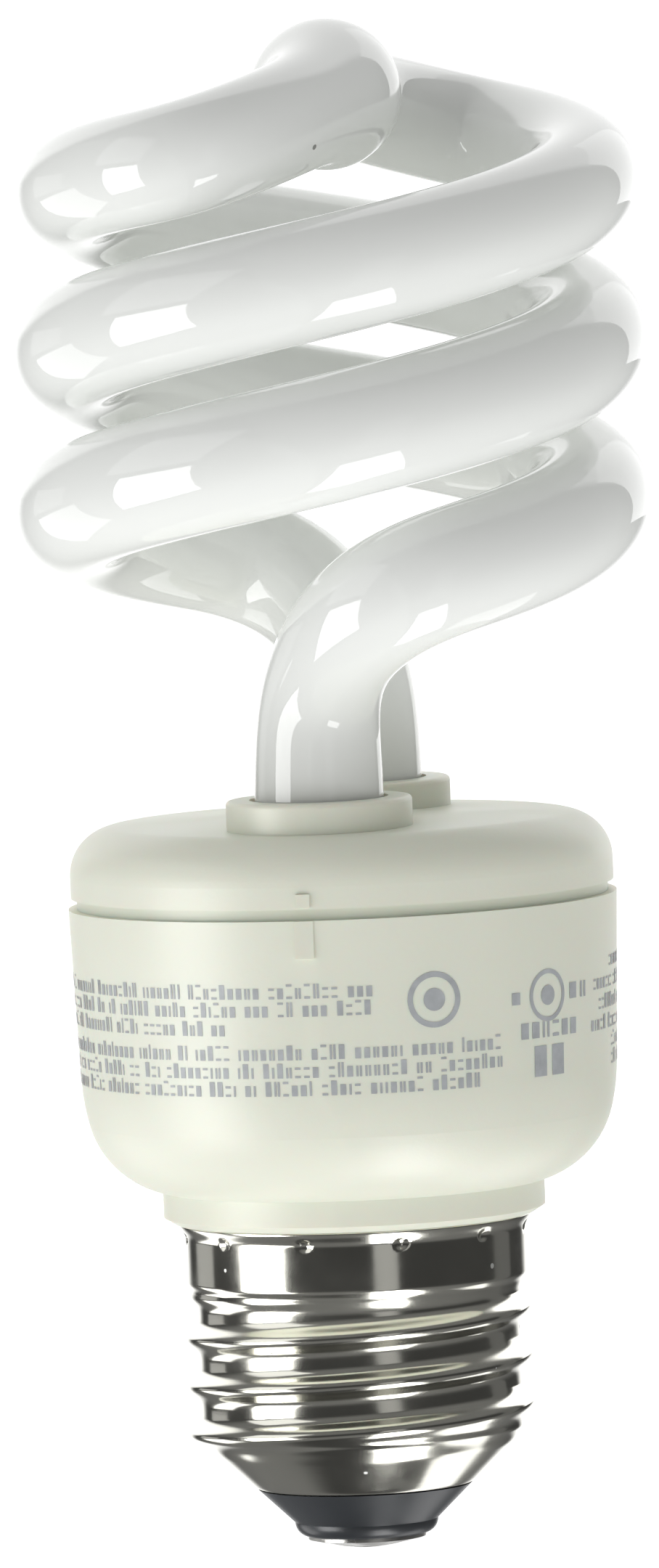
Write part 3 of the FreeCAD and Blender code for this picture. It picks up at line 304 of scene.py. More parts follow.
# The middle line of one strand, from the end of its leg to the knob on the axis
def strandPoints():
    foot = Vector((-tube["legAcross"], -tube["legForward"], seam + tube["legEnd"]))
    legTop = Vector((foot.x, foot.y, seam + tube["legRise"]))
    knob = Vector((0, 0, seam + tube["knobHeight"]))
    heading = math.radians(tube["knobHeading"])
    legPull = Vector((0, 0, tube["legPull"]))
    coilStart = coilPoint(tube["coilStartAngle"])
    coilEnd = coilPoint(tube["coilEndAngle"])
    coilPull = coilDirection(tube["coilStartAngle"]) * tube["coilPull"]
    bridgePull = coilDirection(tube["coilEndAngle"]) * tube["bridgePull"]
    knobPull = Vector((math.cos(heading), math.sin(heading), 0)) * tube["knobPull"]
    coilTurn = tube["coilEndAngle"] - tube["coilStartAngle"]
    legSteps = round((legTop - foot).length / tube["ringSpacing"])
    bendSteps = round(tube["bendSlack"] * (coilStart - legTop).length / tube["ringSpacing"])
    coilSteps = round(math.radians(coilTurn) * tube["coilRadius"] / tube["ringSpacing"])
    bridgeSteps = round(tube["bridgeSlack"] * (knob - coilEnd).length / tube["ringSpacing"])
    points = [foot.lerp(legTop, step / legSteps) for step in range(legSteps)]
    for step in range(bendSteps):
        points.append(blended(legTop, legPull, coilStart, coilPull, step / bendSteps))
    for step in range(coilSteps):
        points.append(coilPoint(tube["coilStartAngle"] + coilTurn * step / coilSteps))
    for step in range(bridgeSteps + 1):
        points.append(blended(coilEnd, bridgePull, knob, knobPull, step / bridgeSteps))
    return points


# The tube's radius at a distance along its strand
def tubeRadius(distance, strandLength):
    pastLeg = distance - (tube["legRise"] - tube["legEnd"])
    settling = min(1.0, max(0.0, pastLeg / tube["bendLength"]))
    radius = tube["legRadius"] + (tube["coilTubeRadius"] - tube["legRadius"]) * settling
    waist = math.exp(-((pastLeg - tube["waistOffset"]) / tube["waistSpread"]) ** 2)
    radius -= (tube["legRadius"] - tube["waistRadius"]) * waist
    narrowing = smoothStep(tube["taperStartShare"], tube["taperEndShare"], distance / strandLength)
    radius += (tube["crownTubeRadius"] - tube["coilTubeRadius"]) * narrowing
    swelling = math.exp(-((strandLength - distance) / tube["knobSpread"]) ** 2)
    return radius + (tube["knobRadius"] - tube["crownTubeRadius"]) * swelling


# Above the cover the whole coil leans a little to one side
def leaned(point):
    rise = max(0.0, point.z - seam - tube["leanBase"])
    return point + Vector((rise * math.tan(math.radians(tube["leanAngle"])), 0, 0))


def tubeRings(line, radii):
    side = Vector((1, 0, 0))
    rings = []
    for index, spot in enumerate(line):
        direction = (line[min(index + 1, len(line) - 1)] - line[max(index - 1, 0)]).normalized()
        side = (side - direction * side.dot(direction)).normalized()
        across = direction.cross(side)
        ring = []
        for corner in range(tube["sidesRound"]):
            turn = 2 * math.pi * corner / tube["sidesRound"]
            ring.append(spot + (side * math.cos(turn) + across * math.sin(turn)) * radii[index])
        rings.append(ring)
    return rings


def makeSpiralTube():
    strand = strandPoints()
    for _ in range(tube["smoothingPasses"]):
        middle = [(a + b * 2 + c) / 4 for a, b, c in zip(strand, strand[1:], strand[2:])]
        strand = [strand[0], *middle, strand[-1]]
    distances = [0.0]
    for start, finish in zip(strand, strand[1:]):
        distances.append(distances[-1] + (finish - start).length)
    radii = [tubeRadius(distance, distances[-1]) for distance in distances]
    otherStrand = [Vector((-spot.x, -spot.y, spot.z)) for spot in reversed(strand[:-1])]
    line = [leaned(spot) for spot in strand + otherStrand]
    radii = radii + radii[-2::-1]
    rings = tubeRings(line, radii)
    piece = meshFromRings("spiralTube", rings)
    keepCreases(piece, tube["creaseAngle"])
    return piece, line


# The sealed stub through which the tube was pumped out, under the back leg inside the cover
def makeExhaustStub(foot):
    radius = tube["exhaustRadius"]
    rings = []
    for step in range(tube["exhaustRings"] + 1):
        turn = math.pi / 2 * step / tube["exhaustRings"]
        level = foot.z - tube["exhaustLength"] - radius * math.cos(turn)
        rings.append(circleRing(foot, max(tube["exhaustTip"], radius * math.sin(turn)), level))
    rings.append(circleRing(foot, radius, foot.z))
    return meshFromRings("exhaustStub", rings)


def circleRing(centre, radius, level):
    ring = []
    for corner in range(tube["exhaustSides"]):
        turn = 2 * math.pi * corner / tube["exhaustSides"]
        ring.append(Vector((centre.x + radius * math.cos(turn), centre.y + radius * math.sin(turn), level)))
    return ring


# Screw shell

shell = {
    "wall": 0.3,
    "coneHeight": 4.2,
    "threadLength": 11.4,
    "threadPitch": 3.629,
    "meanRadius": 12.5,
    "crestWave": 0.48,
    "rootWave": 0.12,  # narrows the crest and widens the root
    "startAngle": 167.0,  # of the crest at the thread's foot
    "runOut": 1.6,
    "lipRadius": 8.1,
    "lipRoll": 0.35,
    "lipInset": 0.14,
    "bandRadius": 12.86,
    "bandHeight": 3.8,
    "flareRadius": 13.35,
    "flareStart": 0.1,
    "punchRadius": 0.6,
    "punchFlat": 0.35,
    "punchDepth": 0.2,
    "punchCount": 11,
    "punchStartAngle": 23.5,
    "roundingAtBand": 0.35,
    "sidesRound": 360,
    "rowSpacing": 0.13,
    "rowsPerInnerRow": 6,  # the inside has fewer rows than the outside
    "creaseAngle": 50,
}


# Radius of the shell's outside at a turn and a height above its lip. The thread's crest is a little
# narrower than its root.
def shellRadius(turn, height):
    threadBottom = shell["coneHeight"]
    threadTop = threadBottom + shell["threadLength"]
    bandTop = threadTop + shell["bandHeight"]
    low = threadBottom - shell["runOut"]
    slope = (shell["meanRadius"] - shell["lipRadius"]) / shell["coneHeight"]
    coneRadius = shell["meanRadius"] - (threadBottom - height) * slope
    fadeIn = smoothStep(0, shell["runOut"], height - low)
    fadeOut = smoothStep(0, shell["runOut"], threadTop - height)
    crest = math.radians(shell["startAngle"]) + 2 * math.pi * (height - threadBottom) / shell["threadPitch"]
    wave = shell["crestWave"] * math.cos(turn - crest) + shell["rootWave"] * math.cos(2 * (turn - crest))
    threaded = min(shell["meanRadius"], coneRadius) + min(fadeIn, fadeOut) * wave
    toBand = smoothStep(threadTop - shell["roundingAtBand"], threadTop + shell["roundingAtBand"], height)
    flaring = smoothStep(bandTop - shell["flareStart"], shellTop - shellLip, height)
    banded = shell["bandRadius"] + (shell["flareRadius"] - shell["bandRadius"]) * flaring
    rolled = shell["lipInset"] * max(0.0, 1 - height / shell["lipRoll"]) ** 2
    return threaded + (banded - threaded) * toBand - rolled


# Small staking dents round the flare
def punchDent(turn, height):
    bandTop = shell["coneHeight"] + shell["threadLength"] + shell["bandHeight"]
    step = 2 * math.pi / shell["punchCount"]
    place = (turn - math.radians(shell["punchStartAngle"])) / step
    nearest = place - round(place)
    along = nearest * step * shell["bandRadius"]
    away = math.hypot(along, height - bandTop) / shell["punchRadius"]
    return shell["punchDepth"] * (1 - smoothStep(shell["punchFlat"], 1.0, away))


# One ring of the shell at a height above its lip, dented outside or set in by the wall inside
def shellRing(height, isOutside):
    ring = []
    for corner in range(shell["sidesRound"]):
        turn = 2 * math.pi * corner / shell["sidesRound"]
        setIn = punchDent(turn, height) if isOutside else shell["wall"]
        radius = shellRadius(turn, height) - setIn
        ring.append(Vector((radius * math.cos(turn), radius * math.sin(turn), shellLip + height)))
    return ring


def makeScrewShell():
    total = shellTop - shellLip
    rows = round(total / shell["rowSpacing"])
    innerRows = rows // shell["rowsPerInnerRow"]
    outside = [shellRing(total * row / rows, True) for row in range(rows + 1)]
    inside = [shellRing(total * row / innerRows, False) for row in range(innerRows, -1, -1)]
    piece = meshFromRings("screwShell", outside + inside + [outside[0]], closeEnds=False)
    keepCreases(piece, shell["creaseAngle"])
    return piece


spiralTube, tubeLine = makeSpiralTube()
exhaustStub = makeExhaustStub(tubeLine[-1])
print("tube made: %d faces" % len(spiralTube.data.polygons))
screwShell = makeScrewShell()
print("screw shell made: %d faces" % len(screwShell.data.polygons))


# Printed marks on the housing: rows of plain blocks and bars, and rings round dots

marks = {
    "rimRadius": 20.71,
    "footRadius": 20.25,
    "wallHeight": 12.4,
    "lift": 0.02,  # of the ink over the wall
    "signWidth": 0.44,
    "signGap": 0.25,
    "runGap": 0.55,  # between two runs of signs in a row
    "signHeight": 0.8,
    "tallSign": 1.1,
    "stroke": 0.17,
    "stepAngle": 1.5,  # widest facet of a patch
    "ringSides": 48,
    "shortestRun": 2,
    "longestRun": 9,
    "seed": 7,
}
degreesPerMm = math.degrees(1 / marks["rimRadius"])  # the angle that a millimetre along the wall takes

# Each row of signs: depth of its foot below the seam, then where it starts and ends, in degrees from
# the front
signRows = [
    (5.80, -132.0, 6.0),
    (7.15, -132.0, 6.0),
    (8.55, -132.0, -26.0),
    (10.40, -132.0, 35.0),
    (11.75, -132.0, 35.0),
    (13.10, -132.0, 29.0),
    (5.40, 75.0, 128.0),
    (6.95, 65.0, 128.0),
    (8.50, 68.0, 128.0),
    (10.05, 64.0, 128.0),
    (11.50, 77.0, 118.0),
    (12.85, 77.0, 110.0),
]

# A sign fills its cell, or is bars along these sides of it
wholeSign = ("whole",)
sideBars = ("left", "right")
levelBars = ("foot", "head")
oneBar = ("left",)
signKinds = [wholeSign, wholeSign, sideBars, levelBars, oneBar]

# Each larger sign: the middle's angle, the depth of its foot, its width, height and stroke, and its kind
largeSigns = [
    (38.2, 7.25, 0.8, 0.9, 0.3, wholeSign),
    (56.0, 7.25, 0.9, 1.2, 0.28, wholeSign),
    (60.0, 7.25, 0.8, 1.2, 0.28, sideBars),
    (45.0, 12.8, 1.3, 2.3, 0.36, wholeSign),
    (50.5, 12.8, 1.4, 2.3, 0.36, wholeSign),
]

# The short row under the second ring
shortRow = {
    "startAngle": 39.5,
    "stepAngle": 3.1,
    "drop": 9.9,
    "width": 0.75,
    "height": 1.2,
    "stroke": 0.24,
    "kinds": [wholeSign, wholeSign, sideBars, levelBars, wholeSign, wholeSign],
}

# Rings and the dots in them: angle and depth of the centre, then radius and width of the line
ringSigns = [
    (18.6, 6.3, 1.9, 0.42),
    (18.6, 6.3, 0.43, 0.85),
    (47.4, 6.75, 1.8, 0.34),
    (47.4, 6.75, 0.38, 0.75),
]


def wallPoint(angle, drop):
    slope = (marks["rimRadius"] - marks["footRadius"]) / marks["wallHeight"]
    radius = marks["rimRadius"] - slope * min(drop, marks["wallHeight"]) + marks["lift"]
    turn = math.radians(angle - 90)
    return Vector((radius * math.cos(turn), radius * math.sin(turn), seam - drop))


# A patch that hugs the wall between two angles and two depths below the seam
def addPatch(points, faces, left, right, low, high):
    columns = max(1, math.ceil((right - left) / marks["stepAngle"]))
    first = len(points)
    for column in range(columns + 1):
        angle = left + (right - left) * column / columns
        points.append(wallPoint(angle, low) * mm)
        points.append(wallPoint(angle, high) * mm)
    for column in range(columns):
        corner = first + 2 * column
        faces.append((corner, corner + 2, corner + 3, corner + 1))


def addWallRing(points, faces, angle, drop, radius, width):
    first = len(points)
    around = marks["ringSides"]
    for corner in range(around):
        turn = 2 * math.pi * corner / around
        for reach in (radius - width / 2, radius + width / 2):
            across = angle + reach * math.cos(turn) * degreesPerMm
            points.append(wallPoint(across, drop - reach * math.sin(turn)) * mm)
    for corner in range(around):
        here = first + 2 * corner
        after = first + 2 * ((corner + 1) % around)
        faces.append((here, here + 1, after + 1, after))


def addSign(points, faces, left, drop, width, height, stroke, sides):
    right = left + width * degreesPerMm
    side = stroke * degreesPerMm
    if "whole" in sides:
        addPatch(points, faces, left, right, drop, drop - height)
    if "left" in sides:
        addPatch(points, faces, left, left + side, drop, drop - height)
    if "right" in sides:
        addPatch(points, faces, right - side, right, drop, drop - height)
    if "foot" in sides:
        addPatch(points, faces, left, right, drop, drop - stroke)
    if "head" in sides:
        addPatch(points, faces, left, right, drop - height + stroke, drop - height)


def makePrintedMarks():
    points = []
    faces = []
    dice = random.Random(marks["seed"])
    heights = (marks["signHeight"], marks["signHeight"], marks["tallSign"])
    for drop, start, finish in signRows:
        angle = start
        while angle < finish:
            for _ in range(dice.randint(marks["shortestRun"], marks["longestRun"])):
                sides = dice.choice(signKinds)
                width = marks["stroke"] if sides == oneBar else marks["signWidth"]
                if angle + width * degreesPerMm > finish:
                    break
                height = dice.choice(heights)
                addSign(points, faces, angle, drop, width, height, marks["stroke"], sides)
                angle += (width + marks["signGap"]) * degreesPerMm
            angle += marks["runGap"] * degreesPerMm
    for middle, drop, width, height, stroke, sides in largeSigns:
        left = middle - width / 2 * degreesPerMm
        addSign(points, faces, left, drop, width, height, stroke, sides)
    for step, sides in enumerate(shortRow["kinds"]):
        left = shortRow["startAngle"] + shortRow["stepAngle"] * step
        addSign(points, faces, left, shortRow["drop"], shortRow["width"], shortRow["height"],
                shortRow["stroke"], sides)
    for middle, drop, radius, width in ringSigns:
        addWallRing(points, faces, middle, drop, radius, width)
    mesh = bpy.data.meshes.new("printedMarks")
    mesh.from_pydata(points, [], faces)
    mesh.update()
    mesh.shade_smooth()
    piece = bpy.data.objects.new("printedMarks", mesh)
    bpy.context.scene.collection.objects.link(piece)
    return piece


printedMarks = makePrintedMarks()
print("printed marks made: %d faces" % len(printedMarks.data.polygons))


# Materials of the pieces that show

tubeLooks = {
    "phosphor": (0.885, 0.90, 0.875, 1),
    # painted shade: this darker tone is given to the legs low down, near the cover
    "legShadeTone": (0.74, 0.75, 0.72, 1),
    "legShadeToneLow": 7.0,
    "legShadeToneHigh": 18.0,
    "speckColour": (0.30, 0.30, 0.28, 1),
    "mottle": 0.05,
    "coatingRoughness": 0.6,
    "glassRoughness": 0.03,
    "glassBend": 1.5,
}


def makeTubeMaterial():
    material, tree, shader = newMaterial("phosphorGlass")
    place = addNode(tree, "ShaderNodeTexCoord")
    spot = addNode(tree, "ShaderNodeSeparateXYZ")
    tree.links.new(place.outputs["Object"], spot.inputs[0])
    low, high = (seam + tubeLooks["legShadeToneLow"]) * mm, (seam + tubeLooks["legShadeToneHigh"]) * mm
    unshadedShare = ramped(tree, spot.outputs["Z"], low, high)  # painted shade: the phosphor is darker low on the legs, near the cover
    phosphorWithShade = mixedColour(tree, unshadedShare, tubeLooks["legShadeTone"], tubeLooks["phosphor"])
    mottle = placeGroup(tree, mottleGroup, Colour=phosphorWithShade, Strength=tubeLooks["mottle"], Scale=45.0)
    specks = placeGroup(tree, speckGroup, Colour=mottle.outputs["Colour"],
                        Speck_Colour=tubeLooks["speckColour"], Scale=160.0, Share=0.05, Radius=0.045)
    tree.links.new(specks.outputs["Colour"], shader.inputs["Base Color"])
    shader.inputs["Roughness"].default_value = tubeLooks["coatingRoughness"]
    shader.inputs["Specular IOR Level"].default_value = 0.0
    shader.inputs["Coat Weight"].default_value = 1.0
    shader.inputs["Coat Roughness"].default_value = tubeLooks["glassRoughness"]
    shader.inputs["Coat IOR"].default_value = tubeLooks["glassBend"]
    return material


plasticLooks = {
    "cream": (0.755, 0.77, 0.662, 1),
    "speckColour": (0.35, 0.33, 0.26, 1),
    "roughness": (0.38, 0.47),
    "scatterShare": 0.25,
    "scatterDepth": 0.0012,
    "printColour": (0.41, 0.43, 0.445, 1),
    "printRoughness": 0.5,
}


def makePlasticMaterial():
    material, tree, shader = newMaterial("creamPlastic")
    mottle = placeGroup(tree, mottleGroup, Colour=plasticLooks["cream"], Strength=0.04, Scale=90.0)
    specks = placeGroup(tree, speckGroup, Colour=mottle.outputs["Colour"],
                        Speck_Colour=plasticLooks["speckColour"], Scale=190.0, Share=0.05, Radius=0.06)
    tree.links.new(specks.outputs["Colour"], shader.inputs["Base Color"])
    rough = ramped(tree, mottle.outputs["Value"], *mottleSpan, *plasticLooks["roughness"])
    tree.links.new(rough, shader.inputs["Roughness"])
    shader.inputs["Subsurface Weight"].default_value = plasticLooks["scatterShare"]
    shader.inputs["Subsurface Scale"].default_value = plasticLooks["scatterDepth"]
    grain = placeGroup(tree, grainGroup, Scale=2600.0)
    addBump(tree, shader, grain.outputs["Height"], strength=0.25, distance=0.00004)
    return material


def makePrintMaterial():
    material, tree, shader = newMaterial("greyBlueInk")
    mottle = placeGroup(tree, mottleGroup, Colour=plasticLooks["printColour"], Strength=0.5, Scale=900.0)
    tree.links.new(mottle.outputs["Colour"], shader.inputs["Base Color"])
    shader.inputs["Roughness"].default_value = plasticLooks["printRoughness"]
    return material


capLooks = {
    "nickel": (0.81, 0.80, 0.72, 1),
    "nickelDust": (0.9, 0.9, 0.88, 1),
    "nickelSpan": (0.35, 0.7),
    "nickelRoughness": (0.12, 0.19),
    "dustRoughness": 0.5,
    "tin": (0.62, 0.61, 0.58, 1),
    "tinRoughness": (0.22, 0.42),
    "blackGlass": (0.027, 0.030, 0.034, 1),
    "glassDust": (0.5, 0.5, 0.48, 1),
    "glassRoughness": (0.28, 0.33),
}


def makeNickelMaterial():
    material, tree, shader = newMaterial("nickelPlate")
    mottle = placeGroup(tree, mottleGroup, Colour=capLooks["nickel"], Strength=0.1, Scale=220.0)
    specks = placeGroup(tree, speckGroup, Colour=mottle.outputs["Colour"],
                        Speck_Colour=capLooks["nickelDust"], Scale=900.0, Share=0.06, Radius=0.22)
    tree.links.new(specks.outputs["Colour"], shader.inputs["Base Color"])
    shader.inputs["Metallic"].default_value = 1.0
    rough = ramped(tree, mottle.outputs["Value"], *capLooks["nickelSpan"], *capLooks["nickelRoughness"])
    dusty = mathNode(tree, "MULTIPLY_ADD", specks.outputs["Mask"], capLooks["dustRoughness"], rough)
    tree.links.new(dusty, shader.inputs["Roughness"])
    grain = placeGroup(tree, grainGroup, Scale=500.0, Stretch=(1.0, 1.0, 6.0))
    addBump(tree, shader, grain.outputs["Height"], strength=0.12, distance=0.00003)
    return material


def makeTinMaterial():
    material, tree, shader = newMaterial("dullTin")
    mottle = placeGroup(tree, mottleGroup, Colour=capLooks["tin"], Strength=0.25, Scale=500.0)
    tree.links.new(mottle.outputs["Colour"], shader.inputs["Base Color"])
    shader.inputs["Metallic"].default_value = 1.0
    rough = ramped(tree, mottle.outputs["Value"], *mottleSpan, *capLooks["tinRoughness"])
    tree.links.new(rough, shader.inputs["Roughness"])
    grain = placeGroup(tree, grainGroup, Scale=1500.0)
    addBump(tree, shader, grain.outputs["Height"], strength=0.3, distance=0.00005)
    return material


def makeBlackGlassMaterial():
    material, tree, shader = newMaterial("blackGlass")
    mottle = placeGroup(tree, mottleGroup, Colour=capLooks["blackGlass"], Strength=0.25, Scale=300.0)
    specks = placeGroup(tree, speckGroup, Colour=mottle.outputs["Colour"],
                        Speck_Colour=capLooks["glassDust"], Scale=700.0, Share=0.05, Radius=0.14)
    tree.links.new(specks.outputs["Colour"], shader.inputs["Base Color"])
    rough = ramped(tree, mottle.outputs["Value"], *mottleSpan, *capLooks["glassRoughness"])
    tree.links.new(rough, shader.inputs["Roughness"])
    return material


tubeMaterial = makeTubeMaterial()
plasticMaterial = makePlasticMaterial()
printMaterial = makePrintMaterial()
nickelMaterial = makeNickelMaterial()
tinMaterial = makeTinMaterial()
blackGlassMaterial = makeBlackGlassMaterial()


# Finishes of the pieces inside: colour, roughness, metal share, and how strongly the tone varies
innerFinishes = {
    "tube_cement": ((0.78, 0.76, 0.70, 1), 0.9, 0.0, 0.20),
    "electrolytic_capacitor": ((0.03, 0.04, 0.09, 1), 0.3, 0.0, 0.15),
    "inductor_core": ((0.05, 0.05, 0.05, 1), 0.6, 0.0, 0.30),
    "inductor_bobbin": ((0.74, 0.72, 0.64, 1), 0.5, 0.0, 0.10),
    "inductor_winding": ((0.48, 0.17, 0.05, 1), 0.3, 0.8, 0.30),
    "toroid_core": ((0.06, 0.22, 0.09, 1), 0.35, 0.0, 0.20),
    "toroid_windings": ((0.55, 0.22, 0.07, 1), 0.3, 0.8, 0.20),
    "low_transistor": ((0.03, 0.03, 0.03, 1), 0.55, 0.0, 0.20),
    "high_transistor": ((0.03, 0.03, 0.03, 1), 0.55, 0.0, 0.20),
    "resonant_capacitor": ((0.30, 0.05, 0.03, 1), 0.3, 0.0, 0.20),
    "coupling_capacitor": ((0.04, 0.16, 0.07, 1), 0.3, 0.0, 0.20),
    "filter_choke": ((0.04, 0.04, 0.045, 1), 0.5, 0.0, 0.20),
    "rectifier_diodes": ((0.03, 0.03, 0.03, 1), 0.5, 0.0, 0.20),
    "resistors": ((0.50, 0.36, 0.19, 1), 0.5, 0.0, 0.20),
    "trigger_diode": ((0.07, 0.14, 0.35, 1), 0.2, 0.0, 0.15),
    "fuse_resistor": ((0.22, 0.27, 0.19, 1), 0.7, 0.0, 0.20),
    "live_lead": ((0.66, 0.65, 0.62, 1), 0.3, 1.0, 0.20),
    "neutral_lead": ((0.66, 0.65, 0.62, 1), 0.3, 1.0, 0.20),
    "wire_posts": ((0.62, 0.60, 0.56, 1), 0.35, 1.0, 0.20),
    "filament_leads": ((0.66, 0.65, 0.62, 1), 0.3, 1.0, 0.20),
    "circuit_board": ((0.30, 0.20, 0.07, 1), 0.45, 0.0, 0.25),
}


def makeInnerMaterial(name, finish):
    colour, roughness, metal, strength = finish
    material, tree, shader = newMaterial(name + "_finish")
    mottle = placeGroup(tree, mottleGroup, Colour=colour, Strength=strength, Scale=400.0)
    tree.links.new(mottle.outputs["Colour"], shader.inputs["Base Color"])
    shader.inputs["Metallic"].default_value = metal
    rough = ramped(tree, mottle.outputs["Value"], *mottleSpan, roughness * 0.85, roughness * 1.1)
    tree.links.new(rough, shader.inputs["Roughness"])
    grain = placeGroup(tree, grainGroup, Scale=1200.0)
    addBump(tree, shader, grain.outputs["Height"], strength=0.2, distance=0.00004)
    return material


def dress(piece, material):
    if not piece.material_slots:
        piece.data.materials.append(material)
    for slot in piece.material_slots:
        slot.material = material


for node, material in (("tube_cover", plasticMaterial), ("ballast_housing", plasticMaterial),
                       ("base_insulator", blackGlassMaterial), ("centre_contact", tinMaterial),
                       ("contact_solder", tinMaterial)):
    dress(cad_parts[node], material)
for node, finish in innerFinishes.items():
    dress(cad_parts[node], makeInnerMaterial(node, finish))

for piece, material, slot in ((spiralTube, tubeMaterial, "glass_tube"),
                              (exhaustStub, tubeMaterial, "glass_tube"),
                              (screwShell, nickelMaterial, "plated_shell"),
                              (printedMarks, printMaterial, "housing_plastic")):
    dress(piece, material)
    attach(piece, "root")
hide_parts("spiral_tube")
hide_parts("screw_shell")
print("materials placed")


# Floor, light and camera

# The floor and the levels of the light. A span is where, along one axis of its direction, a level changes.
stage = {
    "floorSize": 60.0,
    "floorDrop": 0.0002,
    "floorGlow": 0.93,  # white for the camera, and soft light from below
    "floorColour": (0.36, 0.36, 0.36, 1),
    "frontLevel": 0.35,  # soft light from the front
    "backLevel": 1.0,  # and from behind
    "backSpan": (-0.35, 0.65),
    "topShare": 1.4,  # of that from straight above
    "topSpan": (0.1, 0.9),
    "rightShare": 0.5,  # and from the right
    "rightSpan": (0.0, 0.8),
    "mirrorFront": 0.045,  # what metal and glass reflect from the front
    "mirrorSlant": 0.16,  # and from slanting directions
    "slantSpan": (0.12, 0.6),
    "steepSpan": (0.86, 0.96),
    "mirrorBack": 1.35,  # and from behind
    "mirrorSpan": (0.84, 1.0),
    "mirrorRise": 0.6,  # share of the height that counts as behind
}


def makeFloor():
    half = stage["floorSize"] / 2
    mesh = bpy.data.meshes.new("floor")
    corners = [(-half, -half, 0), (half, -half, 0), (half, half, 0), (-half, half, 0)]
    mesh.from_pydata(corners, [], [(0, 1, 2, 3)])
    floor = bpy.data.objects.new("floor", mesh)
    floor.location.z = -stage["floorDrop"]
    bpy.context.scene.collection.objects.link(floor)
    material, tree, shader = newMaterial("whiteTable")
    shader.inputs["Base Color"].default_value = stage["floorColour"]
    shader.inputs["Roughness"].default_value = 1.0
    shader.inputs["Specular IOR Level"].default_value = 0.0
    shader.inputs["Emission Color"].default_value = (1, 1, 1, 1)
    shader.inputs["Emission Strength"].default_value = stage["floorGlow"]
    mesh.materials.append(material)
    floor.visible_glossy = False
    floor.visible_shadow = False


# White for the camera, a white sweep behind and a dark room in front for mirrors, and for plain surfaces
# a soft light that is stronger from behind and above and weaker from the right
def makeWorld():
    world = bpy.data.worlds.new("studio")
    world.use_nodes = True
    bpy.context.scene.world = world
    tree = world.node_tree
    background = tree.nodes["Background"]
    background.inputs["Color"].default_value = (1, 1, 1, 1)
    place = addNode(tree, "ShaderNodeTexCoord")
    direction = addNode(tree, "ShaderNodeSeparateXYZ")
    tree.links.new(place.outputs["Generated"], direction.inputs[0])
    towardsBack = ramped(tree, direction.outputs["Y"], *stage["backSpan"])
    level = ramped(tree, towardsBack, 0.0, 1.0, stage["frontLevel"], stage["backLevel"])
    overhead = ramped(tree, direction.outputs["Z"], *stage["topSpan"], 1.0, stage["topShare"])
    towardsRight = ramped(tree, direction.outputs["X"], *stage["rightSpan"], 1.0, stage["rightShare"])
    softLevel = mathNode(tree, "MULTIPLY", mathNode(tree, "MULTIPLY", level, overhead), towardsRight)
    raised = mathNode(tree, "MAXIMUM", direction.outputs["Z"], 0.0)
    backward = mathNode(tree, "MULTIPLY_ADD", raised, stage["mirrorRise"], direction.outputs["Y"])
    mirrorBack = ramped(tree, backward, *stage["mirrorSpan"])
    steepness = mathNode(tree, "ABSOLUTE", direction.outputs["Z"])
    slanting = ramped(tree, steepness, *stage["slantSpan"], stage["mirrorFront"], stage["mirrorSlant"])
    mirrorFront = ramped(tree, steepness, *stage["steepSpan"], slanting, stage["mirrorFront"])
    mirrorLevel = ramped(tree, mirrorBack, 0.0, 1.0, mirrorFront, stage["mirrorBack"])
    rays = addNode(tree, "ShaderNodeLightPath")
    mirrored = mathNode(tree, "MAXIMUM", rays.outputs["Is Glossy Ray"], rays.outputs["Is Transmission Ray"])
    chosen = addNode(tree, "ShaderNodeMix", data_type="FLOAT")
    feed(tree, chosen.inputs["Factor"], mirrored)
    feed(tree, chosen.inputs["A"], softLevel)
    feed(tree, chosen.inputs["B"], mirrorLevel)
    seen = addNode(tree, "ShaderNodeMix", data_type="FLOAT")
    feed(tree, seen.inputs["Factor"], rays.outputs["Is Camera Ray"])
    feed(tree, seen.inputs["A"], chosen.outputs["Result"])
    feed(tree, seen.inputs["B"], 1.0)
    tree.links.new(seen.outputs["Result"], background.inputs["Strength"])


# Soft boxes and cards that show only in gloss and metal. Azimuth 0 is the front, positive to the right.
cards = {
    "leftSoftBox": dict(azimuth=-68, elevation=-17.5, distance=0.9, wide=0.54, tall=0.68, level=6.0),
    "leftBackCard": dict(azimuth=-121, elevation=-29, distance=0.9, wide=0.46, tall=0.50, level=1.7),
    "leftBandCard": dict(azimuth=-126, elevation=-2, distance=0.9, wide=0.38, tall=0.24, level=0.45),
    "leftHighCard": dict(azimuth=-72, elevation=28, distance=0.9, wide=0.7, tall=0.6, level=1.1),
    "rightCard": dict(azimuth=19.5, elevation=-5, distance=1.2, wide=0.34, tall=0.9, level=0.42),
    "farRightCard": dict(azimuth=117, elevation=0, distance=1.0, wide=0.36, tall=1.0, level=0.13),
    "underBackCard": dict(azimuth=138, elevation=-52, distance=0.8, wide=0.42, tall=0.3, level=1.5),
    "underCard": dict(azimuth=41, elevation=-64, distance=0.65, wide=0.23, tall=0.56, level=6.0, spin=32),
    "backRightCard": dict(azimuth=150, elevation=17, distance=1.0, wide=0.5, tall=0.8, level=1.7),
}

target = Vector((0, 0, 0.06))  # about half way up the lamp


# Stands a card or lamp at its azimuth, elevation and distance, facing the object
def aimAtObject(piece, place):
    azimuth = math.radians(place["azimuth"])
    elevation = math.radians(place["elevation"])
    across = math.sin(azimuth) * math.cos(elevation)
    forward = math.cos(azimuth) * math.cos(elevation)
    outward = Vector((across, -forward, math.sin(elevation)))
    spin = Quaternion((0, 0, 1), math.radians(place.get("spin", 0)))
    bpy.context.scene.collection.objects.link(piece)
    piece.rotation_mode = "QUATERNION"
    piece.rotation_quaternion = outward.to_track_quat("Z", "Y") @ spin
    piece.location = target + outward * place["distance"]


